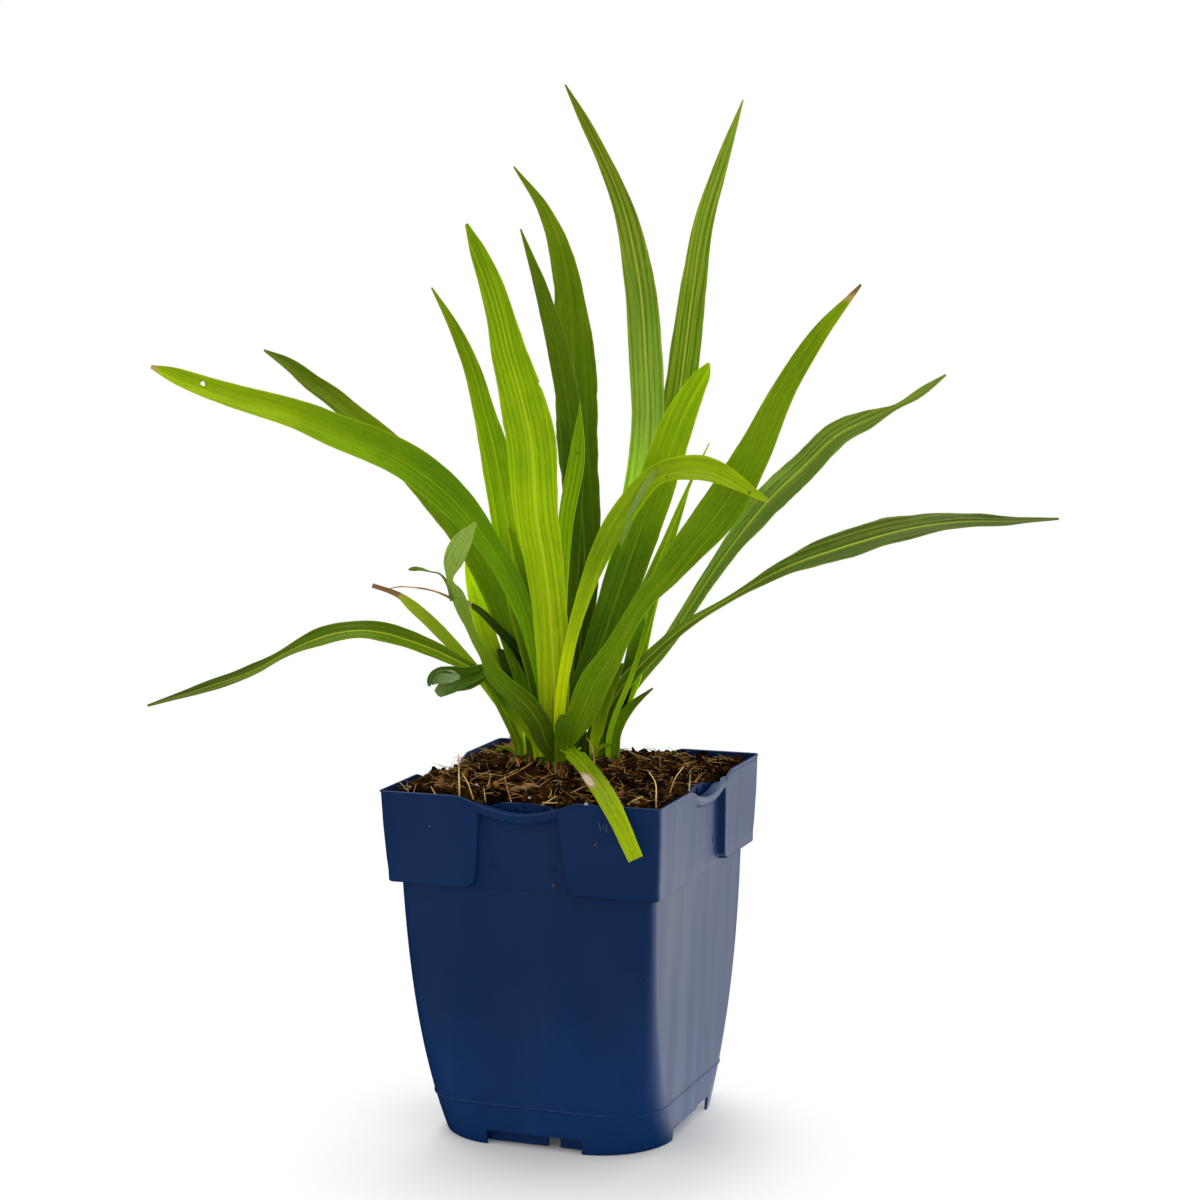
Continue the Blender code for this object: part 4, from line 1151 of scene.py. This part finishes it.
def stalks(name, tree, lines, skin, sides, slot="soil"):
    """One object from several chains: each is its points with a radius in millimetres."""
    points, edges, radii = [], [], []
    for chain in lines:
        for at, (x, y, z, radius) in enumerate(chain):
            if at:
                edges.append((len(points) - 1, len(points)))
            points.append((x, y, z))
            radii.append(radius * MM)
    mesh = mesh_of(name, points, [], edges)
    hold(mesh, "thickness", "FLOAT", radii)
    made = new_object(name, mesh)
    grown(made, tree, {"Sides": sides, "Skin": skin})
    finished(made, slot)


def random_fibres(count, seed, length, radius):
    """Short bent fibres lying on the soil at random."""
    pick = random.Random(seed)
    lines = []
    while len(lines) < count:
        x, y = pick.uniform(-LITTER_REACH, LITTER_REACH), pick.uniform(-LITTER_REACH, LITTER_REACH)
        turn = pick.uniform(0.0, math.tau)
        long = length * pick.uniform(0.35, 1.0)
        bend = pick.uniform(-0.9, 0.9)
        pitch = pick.uniform(-0.15, 0.45)
        thick = radius * pick.uniform(0.5, 1.0)
        chain = []
        for at in range(6):
            part = at / 5
            way = turn + bend * part
            chain.append((x, y, mound(x, y) + 0.7 + pitch * long * part, thick * (1.0 - 0.5 * part)))
            x += math.cos(way) * long / 5
            y += math.sin(way) * long / 5
        if max(abs(x), abs(y)) < LITTER_REACH + 1.0:
            lines.append(chain)
    return lines


# kind, radius, and the points of a straw from the end in the soil
STRAWS = (
    ("pale", 0.30, ((-19.5, -42, 108.5), (-20, -41, 115), (-20.5, -40, 120))),
    ("pale", 0.24, ((-15.5, -42, 108.5), (-17, -41.5, 112), (-19, -41, 114.5))),
    ("thin", 0.14, ((-28, -13, 109.5), (-30.5, -12.5, 110.5), (-33, -11.5, 112.5))),
    ("brown", 0.24, ((-15.5, -6.5, 110), (-18, -4.5, 114), (-20.5, -2, 118.5))),
    ("brown", 0.20, ((-33, 24.5, 108.5), (-34.5, 25.5, 110.5))),
    ("brown", 0.34, ((-15, -23, 109), (-12, -19, 110.5), (-8.5, -13, 113))),
    ("brown", 0.28, ((-4.5, -22, 109), (-9.5, -21, 110.5))),
    ("thin", 0.16, ((-17, -13.5, 109.5), (-15.5, -9.5, 113))),
    ("pale", 0.22, ((-16.5, -27.5, 109), (-16.5, -25.5, 111.5))),
    ("brown", 0.20, ((-3.5, -41.5, 108.5), (-4.5, -41, 111), (-5.5, -40.5, 114.5))),
    ("pale", 0.18, ((-0.5, -28.5, 108.5), (1, -26.5, 110))),
    ("pale", 0.22, ((11.5, -31, 108.5), (13.5, -27.5, 109.5), (15, -25.5, 110))),
    ("brown", 0.20, ((21.5, -37, 107.5), (14.5, -35.5, 110))),
    ("thin", 0.16, ((15.5, -37, 108), (10, -35, 110.5))),
    ("pale", 0.30, ((6, 1.5, 110.5), (4.5, 4, 115), (1.5, 6, 118.5))),
    ("pale", 0.26, ((39, -32.5, 107), (37, -28.5, 113.5), (35, -27.5, 115.5))),
    ("pale", 0.22, ((38, -18.5, 107.5), (38.5, -15, 111.5), (40, -11.5, 114.5))),
    ("pale", 0.20, ((40, -7, 107), (39.5, -4.5, 111))),
    ("pale", 0.42, ((32.5, -39, 107.5), (34, -36.5, 109), (35.5, -34, 109.5))),
    ("pale", 0.20, ((8, -41.5, 107.5), (11, -40.5, 109.5))),
    ("pale", 0.20, ((8.5, -41.5, 107.5), (13, -40.5, 107.5))),
    ("pale", 0.22, ((-27.5, -42, 108), (-29, -41.5, 110))),
    ("pale", 0.16, ((-37.5, -41.5, 109), (-39.5, -41, 110.5))),
    ("pale", 0.16, ((-36.5, -41.5, 108.5), (-37, -41, 110.5))),
    ("pale", 0.16, ((-34.5, -41.5, 108.5), (-34, -41, 110.5))),
    ("pale", 0.16, ((-11.5, -41.5, 108), (-12, -41, 110.5))),
    ("thin", 0.14, ((-34, -0.5, 109.5), (-35.5, 1.5, 112.5))),
    ("brown", 0.18, ((26.5, 20, 108), (30.5, 26, 108.5))),
    ("thin", 0.14, ((16, 37.5, 108), (17.5, 39.5, 108))),
    ("thin", 0.16, ((16, 29, 108), (15, 30.5, 110.5))),
    ("thin", 0.14, ((25.5, 39, 107), (21, 40, 108))),
    ("pale", 0.16, ((-1.5, -11, 110), (-2.5, -9.5, 112.5))),
)


def bent(radius, line):
    """A smooth chain through a straw's points that starts below the surface and thins towards its tip."""
    first, second = np.array(line[0], float), np.array(line[1], float)
    under = first + unit(first - second) * 1.5
    curve = smooth([under, *line], 10)
    return [(x, y, z, radius * (1.0 - 0.045 * at)) for at, (x, y, z) in enumerate(curve)]


# thin ends that hang from the folded leaf: x, y, z and radius
TENDRILS = (
    ("green", (
        (-26.9, -28.2, 164.0, 0.7), (-28.0, -28.8, 169.0, 0.55), (-30.2, -29.5, 172.1, 0.28),
        (-33.1, -30.7, 172.9, 0.24), (-35.5, -31.8, 173.7, 0.55), (-37.9, -32.6, 173.7, 0.6),
        (-38.9, -32.8, 173.5, 0.2),
    )),
    ("brown", (
        (-27.2, -28.2, 164.7, 0.45), (-30.6, -29.7, 166.5, 0.30), (-37.7, -32.6, 168.2, 0.22),
        (-41.7, -34.2, 168.4, 0.18), (-45.4, -35.7, 167.5, 0.12),
    )),
)

# bits of wood and stone on the soil: skin, place, half sizes, heading and pitch in degrees
CHIPS = (
    ("wood", (-28.6, -35.3, 110.0), (0.9, 0.5, 2.2), 20, 12),
    ("wood", (-30.0, -35.9, 109.0), (0.7, 0.5, 1.4), 60, -20),
    ("shell", (-3.6, -31.8, 109.3), (4.2, 2.0, 0.7), 42, 8),
    ("shell", (-1.2, -30.2, 109.9), (2.6, 1.3, 0.6), 20, -14),
    ("shell", (33.5, -36.5, 108.0), (2.2, 0.9, 0.5), 50, 5),
    ("wood", (-26.5, -22.0, 110.2), (1.0, 0.6, 1.8), 70, 30),
    ("wood", (14.0, -22.5, 109.8), (2.4, 0.8, 0.6), 15, 8),
    ("wood", (26.0, -30.0, 108.6), (2.8, 0.9, 0.7), 75, 10),
    ("wood", (-13.0, -30.0, 109.5), (2.2, 0.8, 0.6), 120, 12),
    ("dark", (8.0, -32.0, 109.2), (2.6, 1.8, 1.3), 30, 0),
    ("dark", (20.0, -12.0, 110.0), (2.4, 2.0, 1.6), 80, 0),
    ("dark", (33.0, -14.0, 108.8), (2.6, 1.6, 1.2), 10, 0),
    ("dark", (-24.0, -12.0, 110.6), (2.2, 1.7, 1.5), 50, 0),
    ("dark", (-9.0, -24.0, 110.2), (2.0, 1.6, 1.2), 140, 0),
    ("white", (-18.1, -32.7, 109.4), (0.5, 0.5, 0.4), 0, 0),
    ("white", (-36.9, -39.5, 109.0), (0.3, 0.3, 0.25), 0, 0),
    ("white", (2.4, -40.6, 108.4), (0.35, 0.3, 0.3), 0, 0),
)

# specks on the pot's outside: skin, place and radius
SPECKS = (
    ("rust", (-28.4, -44.35, 98.6), 0.4), ("rust", (24.7, -44.3, 96.7), 0.59),
    ("rust", (38.1, -38.9, 56.3), 0.18), ("rust", (-33.7, -38.65, 40.4), 0.18),
    ("rust", (16.5, -38.7, 44.2), 0.18), ("rust", (21.2, -38.7, 44.9), 0.15),
    ("rust", (10.5, -42.7, 83.2), 0.38), ("rust", (-9.0, -39.6, 62.5), 0.14),
    ("rust", (15.0, -39.5, 61.0), 0.16), ("rust", (32.0, -39.1, 50.0), 0.16),
    ("rust", (-31.0, -38.3, 33.0), 0.17), ("rust", (39.4, -34.0, 18.0), 0.28),
    ("bead", (22.1, -44.9, 108.7), 0.62),
)

# pale scratches on the front of the pot: x, y, z and radius
SCUFFS = (
    ((25.9, -44.7, 103.5, 0.05), (26.2, -44.7, 102.2, 0.10), (26.3, -44.7, 101.0, 0.04)),
    ((27.2, -44.7, 102.9, 0.04), (27.4, -44.7, 102.2, 0.09), (27.4, -44.7, 101.5, 0.04)),
    ((28.5, -44.7, 103.3, 0.05), (28.2, -44.7, 102.0, 0.11), (28.3, -44.7, 100.7, 0.05)),
)


def lump(place, sizes, heading, pitch, rough, seed):
    """An uneven pebble or chip."""
    shape = bmesh.new()
    bmesh.ops.create_icosphere(shape, subdivisions=2, radius=1.0)
    turn, lean = math.radians(heading), math.radians(pitch)
    along = np.array([math.cos(turn) * math.cos(lean), math.sin(turn) * math.cos(lean), math.sin(lean)])
    side = np.array([-math.sin(turn), math.cos(turn), 0.0])
    top = np.cross(along, side)
    points = []
    for corner in shape.verts:
        x, y, z = corner.co
        wave = math.sin(3.1 * x + seed) * math.cos(2.7 * y - seed)
        swell = 1.0 + rough * wave + rough * math.sin(4.3 * z + 2.0 * seed)
        reach = along * x * sizes[0] + side * y * sizes[1] + top * z * sizes[2]
        points.append(np.array(place) + swell * reach)
    faces = [tuple(corner.index for corner in face.verts) for face in shape.faces]
    shape.free()
    return points, faces


def lumps(name, pieces, skin, slot):
    """One object from several pebbles."""
    points, faces = [], []
    for more, ring in pieces:
        faces += [tuple(at + len(points) for at in face) for face in ring]
        points += more
    made = new_object(name, mesh_of(name, points, faces))
    painted(made, skin)
    finished(made, slot)


def feet_of(shoot):
    return [np.array(leaf.foot[:2], float) for leaf in LEAVES if leaf.shoot == shoot]


def outermost(feet, way):
    return max(feet, key=lambda foot: float(np.dot(foot, way)))


def rooted_fibres(count, seed):
    """Fine brown fibres that cling round the foot of each shoot."""
    pick = random.Random(seed)
    lines = []
    for shoot, high in CROWN_Z.items():
        feet = feet_of(shoot)
        for _ in range(count):
            angle = pick.uniform(0.0, math.tau)
            way = np.array([math.cos(angle), math.sin(angle)])
            aside = np.array([-way[1], way[0]])
            x, y = outermost(feet, way) + way * pick.uniform(2.1, 3.0)
            z = high - pick.uniform(-0.6, 1.6)
            fall = pick.uniform(2.0, 4.5)
            spread, slew = pick.uniform(0.2, 2.4), pick.uniform(-1.6, 1.6)
            chain = []
            for at in range(5):
                part = at / 4
                out = way * spread * part * part + aside * slew * math.sin(2.4 * part)
                chain.append((x + out[0], y + out[1], z - fall * part, 0.13 - 0.05 * part))
            lines.append(chain)
    return lines


# ---------------------------------------------------------------- shoots


def crown_piece(name, skin):
    """The sheathing leaf bases of one shoot: a low fluted clump that stands in the soil."""
    feet, high = feet_of(name), CROWN_Z[name]
    profile = (
        (104.5, 1.9, 0.2), (108.0, 1.9, 0.3), (high - 2.2, 1.6, 0.35), (high - 0.6, 1.2, 0.3),
        (high + 0.1, 0.6, 0.2),
    )
    rings = []
    for z, wide, flute in profile:
        ring = []
        for angle in angles(96):
            way = np.array([math.cos(angle), math.sin(angle)])
            x, y = outermost(feet, way) + way * (wide + flute * math.sin(14 * angle + z))
            ring.append((x, y, z + 0.3 * math.sin(9 * angle)))
        rings.append(ring)
    piece = new_object(name + "_sheath", mesh_of(name + "_sheath", *loft(rings)))
    painted(piece, skin)
    finished(piece, "leaf_sheath", name)


# ---------------------------------------------------------------- studio


def sheen(tree, way):
    """How bright the room looks in each direction: a broad light to the right, and dark in front."""
    toward = measure(tree, "DOT_PRODUCT", vector(tree, "NORMALIZE", way), (0.906, 0.423, 0.0))
    return band(tree, toward, 0.55, 1.0, 0.0, 1.95)


def ray_kinds(tree):
    """Whether a ray comes from the camera, from a shiny surface or through a clear one."""
    seen = add(tree, "ShaderNodeLightPath").outputs
    return seen["Is Camera Ray"], seen["Is Glossy Ray"], seen["Is Transmission Ray"]


def build_floor():
    """A pale floor that is white further off, and keeps the pot's shadow near it."""
    skin, tree, shader, place = new_material("pale_floor")
    coated(tree, shader, (0.86, 0.87, 0.86, 1.0), 0.95, 0.0)
    camera, glossy, _ = ray_kinds(tree)
    far = measure(tree, "LENGTH", place)
    mirrored = times(tree, sheen(tree, place), band(tree, far, 0.06, 0.28, 0.80, 1.5))
    strength = plus(tree, camera, times(tree, glossy, mirrored))
    glow = add(tree, "ShaderNodeEmission", {"Color": (1.0, 1.0, 1.0, 1.0), "Strength": strength})
    spot = measure(tree, "LENGTH", vector(tree, "SUBTRACT", place, (-0.002, -0.040, 0.0)))
    plain = times(tree, camera, band(tree, spot, 0.047, 0.106, 0.04, 1.0))
    plain = calc(tree, "ADD", plain, glossy, clamp=True)
    blend = add(tree, "ShaderNodeMixShader", {0: plain, 1: shader.outputs[0], 2: glow.outputs[0]})
    tree.links.new(blend.outputs[0], tree.nodes["Material Output"].inputs[0])
    ring = [(420.0 * math.cos(a), 420.0 * math.sin(a), -0.05) for a in angles(96)]
    floor = new_object("floor", mesh_of("floor", ring, [tuple(range(96))]))
    floor.data.materials.append(skin)


def build_room():
    """White to the eye, an even light, and for reflections the same sheen as the floor's."""
    world = bpy.data.worlds.new("studio")
    bpy.context.scene.world = world
    world.use_nodes = True
    tree = world.node_tree
    backdrop = tree.nodes["Background"]
    camera, glossy, through = ray_kinds(tree)
    way = add(tree, "ShaderNodeTexCoord").outputs["Generated"]
    above = band(tree, split(tree, way)[2], 0.30, 0.90, 0.0, 1.2)
    room = times(tree, glossy, plus(tree, times(tree, sheen(tree, way), 0.72), above))
    strength = calc(tree, "MAXIMUM", calc(tree, "MAXIMUM", camera, through), room)
    other = less(tree, 1.0, calc(tree, "MAXIMUM", camera, glossy))
    tree.links.new(plus(tree, strength, times(tree, other, 0.92)), backdrop.inputs["Strength"])
    backdrop.inputs["Color"].default_value = (1.0, 1.0, 1.0, 1.0)


def aimed(obj, right, up, back, place):
    """Stands an object at a place, turned to these three ways."""
    rows = [[right[row], up[row], back[row], place[row]] for row in range(3)]
    obj.matrix_world = Matrix([*rows, [0.0, 0.0, 0.0, 1.0]])


def soft_lamp(name, place, target, size, power):
    lamp = bpy.data.lights.new(name, "AREA")
    lamp.shape = "RECTANGLE"
    lamp.size, lamp.size_y = size
    lamp.energy = power
    made = new_object(name, lamp)
    back = unit(np.array(place) - np.array(target))
    right = unit(np.cross(UP, back))
    aimed(made, right, np.cross(back, right), back, place)
    made.visible_camera = False


def build_camera():
    eye = bpy.data.cameras.new("camera")
    eye.lens = 82.64
    eye.sensor_width = 36.0
    eye.clip_start = 0.05
    camera = new_object("camera", eye)
    forward = unit(np.array([-0.3690, 0.9197, -0.1341]))
    level = unit(np.cross(forward, UP))
    lift = np.cross(level, forward)
    roll = -0.0147
    right = level * math.cos(roll) + lift * math.sin(roll)
    up = lift * math.cos(roll) - level * math.sin(roll)
    aimed(camera, right, up, -forward, (0.3174, -0.7679, 0.2738))
    bpy.context.scene.camera = camera


# ---------------------------------------------------------------- the plant

# the folded and banded skins paint shade over one half of each blade
LEAF_SKINS = {
    "plain": leaf_skin("leaf_plain", (0.30, 0.44, 0.01), 0.035, 7.0, 0.22),
    "banded": leaf_skin("leaf_banded", (0.34, 0.48, 0.01), 0.035, 7.0, 0.24, painted_half_shade=0.40),
    "striped": leaf_skin("leaf_striped", (0.50, 0.57, 0.07), 0.050, 7.0, 0.90),
    "folded": leaf_skin("leaf_folded", (0.48, 0.60, 0.04), 0.05, 7.0, 0.75, painted_half_shade=0.75),
    "ribbed": leaf_skin("leaf_ribbed", (0.60, 0.72, 0.02), 0.055, 8.0, 0.52),
    "scarred": leaf_skin("leaf_scarred", (0.44, 0.56, 0.02), 0.04, 7.0, 0.40, scar=True),
    "under": leaf_skin("leaf_underside", (0.36, 0.42, 0.14), 0.03, 8.0, 0.40, backed=0.45),
}

build_leaves(LEAF_SKINS)
build_lobes(LEAF_SKINS)
build_pot(pot_skin())
build_soil(
    soil_skin("peat_dark", (0.0025, 0.0015, 0.0009), (0.040, 0.016, 0.003), (0.27, 0.120, 0.028), 1.0, True),
    soil_skin("peat_crumbs", (0.005, 0.0028, 0.0014), (0.064, 0.027, 0.005), (0.42, 0.20, 0.045), 1.6, True),
)
STALK_TREE = fibre_tree()
STRAW = {
    "pale": straw_skin("straw_pale", (0.80, 0.58, 0.24), (0.44, 0.27, 0.08)),
    "brown": straw_skin("straw_brown", (0.68, 0.36, 0.10), (0.16, 0.068, 0.018)),
    "thin": straw_skin("straw_grey", (0.36, 0.22, 0.08), (0.09, 0.048, 0.018)),
    "green": straw_skin("tendril_green", (0.16, 0.26, 0.03), (0.08, 0.15, 0.01)),
}
stalks("peat_fibres", STALK_TREE, random_fibres(600, 21, 7.0, 0.13), STRAW["brown"], 4)
stalks("grey_fibres", STALK_TREE, random_fibres(220, 8, 6.0, 0.10), STRAW["thin"], 4)
stalks("pale_fibres", STALK_TREE, random_fibres(110, 5, 8.0, 0.15), STRAW["pale"], 5)
stalks("foot_fibres", STALK_TREE, rooted_fibres(90, 17), STRAW["brown"], 4)
for kind, tendril in TENDRILS:
    stalks("tendril_" + kind, STALK_TREE, [smooth(tendril, 24)], STRAW[kind], 8, "leaf_old")
PALE_BLUE = soil_skin("scuff", (0.08, 0.11, 0.17), (0.20, 0.24, 0.32), (0.4, 0.44, 0.5), 2.0)
stalks("scuffs", STALK_TREE, [smooth(scuff, 9) for scuff in SCUFFS], PALE_BLUE, 6, "pot_plastic")
BITS = {
    "wood": soil_skin("chip_wood", (0.16, 0.065, 0.02), (0.36, 0.16, 0.05), (0.5, 0.28, 0.11), 1.5),
    "shell": soil_skin("chip_shell", (0.16, 0.085, 0.030), (0.40, 0.24, 0.10), (0.55, 0.38, 0.19), 1.2),
    "dark": soil_skin("chip_dark", (0.004, 0.003, 0.002), (0.020, 0.012, 0.006), (0.07, 0.04, 0.02), 1.5),
    "white": soil_skin("chip_white", (0.45, 0.46, 0.45), (0.7, 0.71, 0.7), (0.8, 0.8, 0.8), 2.0),
    "rust": soil_skin("speck_rust", (0.10, 0.040, 0.020), (0.26, 0.12, 0.06), (0.40, 0.24, 0.14), 3.0),
    "bead": soil_skin("speck_bead", (0.25, 0.33, 0.45), (0.5, 0.6, 0.72), (0.8, 0.85, 0.9), 3.0),
}
for wanted in ("wood", "shell", "dark", "white"):
    bits = [
        lump(place, sizes, heading, pitch, 0.16, 1.3 * number)
        for number, (kind, place, sizes, heading, pitch) in enumerate(CHIPS) if kind == wanted
    ]
    lumps("chips_" + wanted, bits, BITS[wanted], "soil")
for wanted in ("rust", "bead"):
    dots = [
        lump(place, (radius, radius * 0.45, radius * 0.9), 0, 0, 0.2, 0.9 * number)
        for number, (kind, place, radius) in enumerate(SPECKS) if kind == wanted
    ]
    lumps("specks_" + wanted, dots, BITS[wanted], "pot_plastic")
for wanted in ("pale", "brown", "thin"):
    chains = [bent(radius, line) for kind, radius, line in STRAWS if kind == wanted]
    stalks("straws_" + wanted, STALK_TREE, chains, STRAW[wanted], 6)
SHEATH = sheath_skin()
for shoot in CROWN_Z:
    crown_piece(shoot, SHEATH)

build_floor()
build_room()
soft_lamp("window", (-0.45, 0.45, 1.5), (0.0, 0.0, 0.15), (1.2, 1.0), 12.0)
soft_lamp("side", (0.75, 1.35, 0.25), (0.0, 0.0, 0.10), (1.6, 1.0), 9.0)
build_camera()
bpy.context.scene.view_settings.view_transform = "Standard"
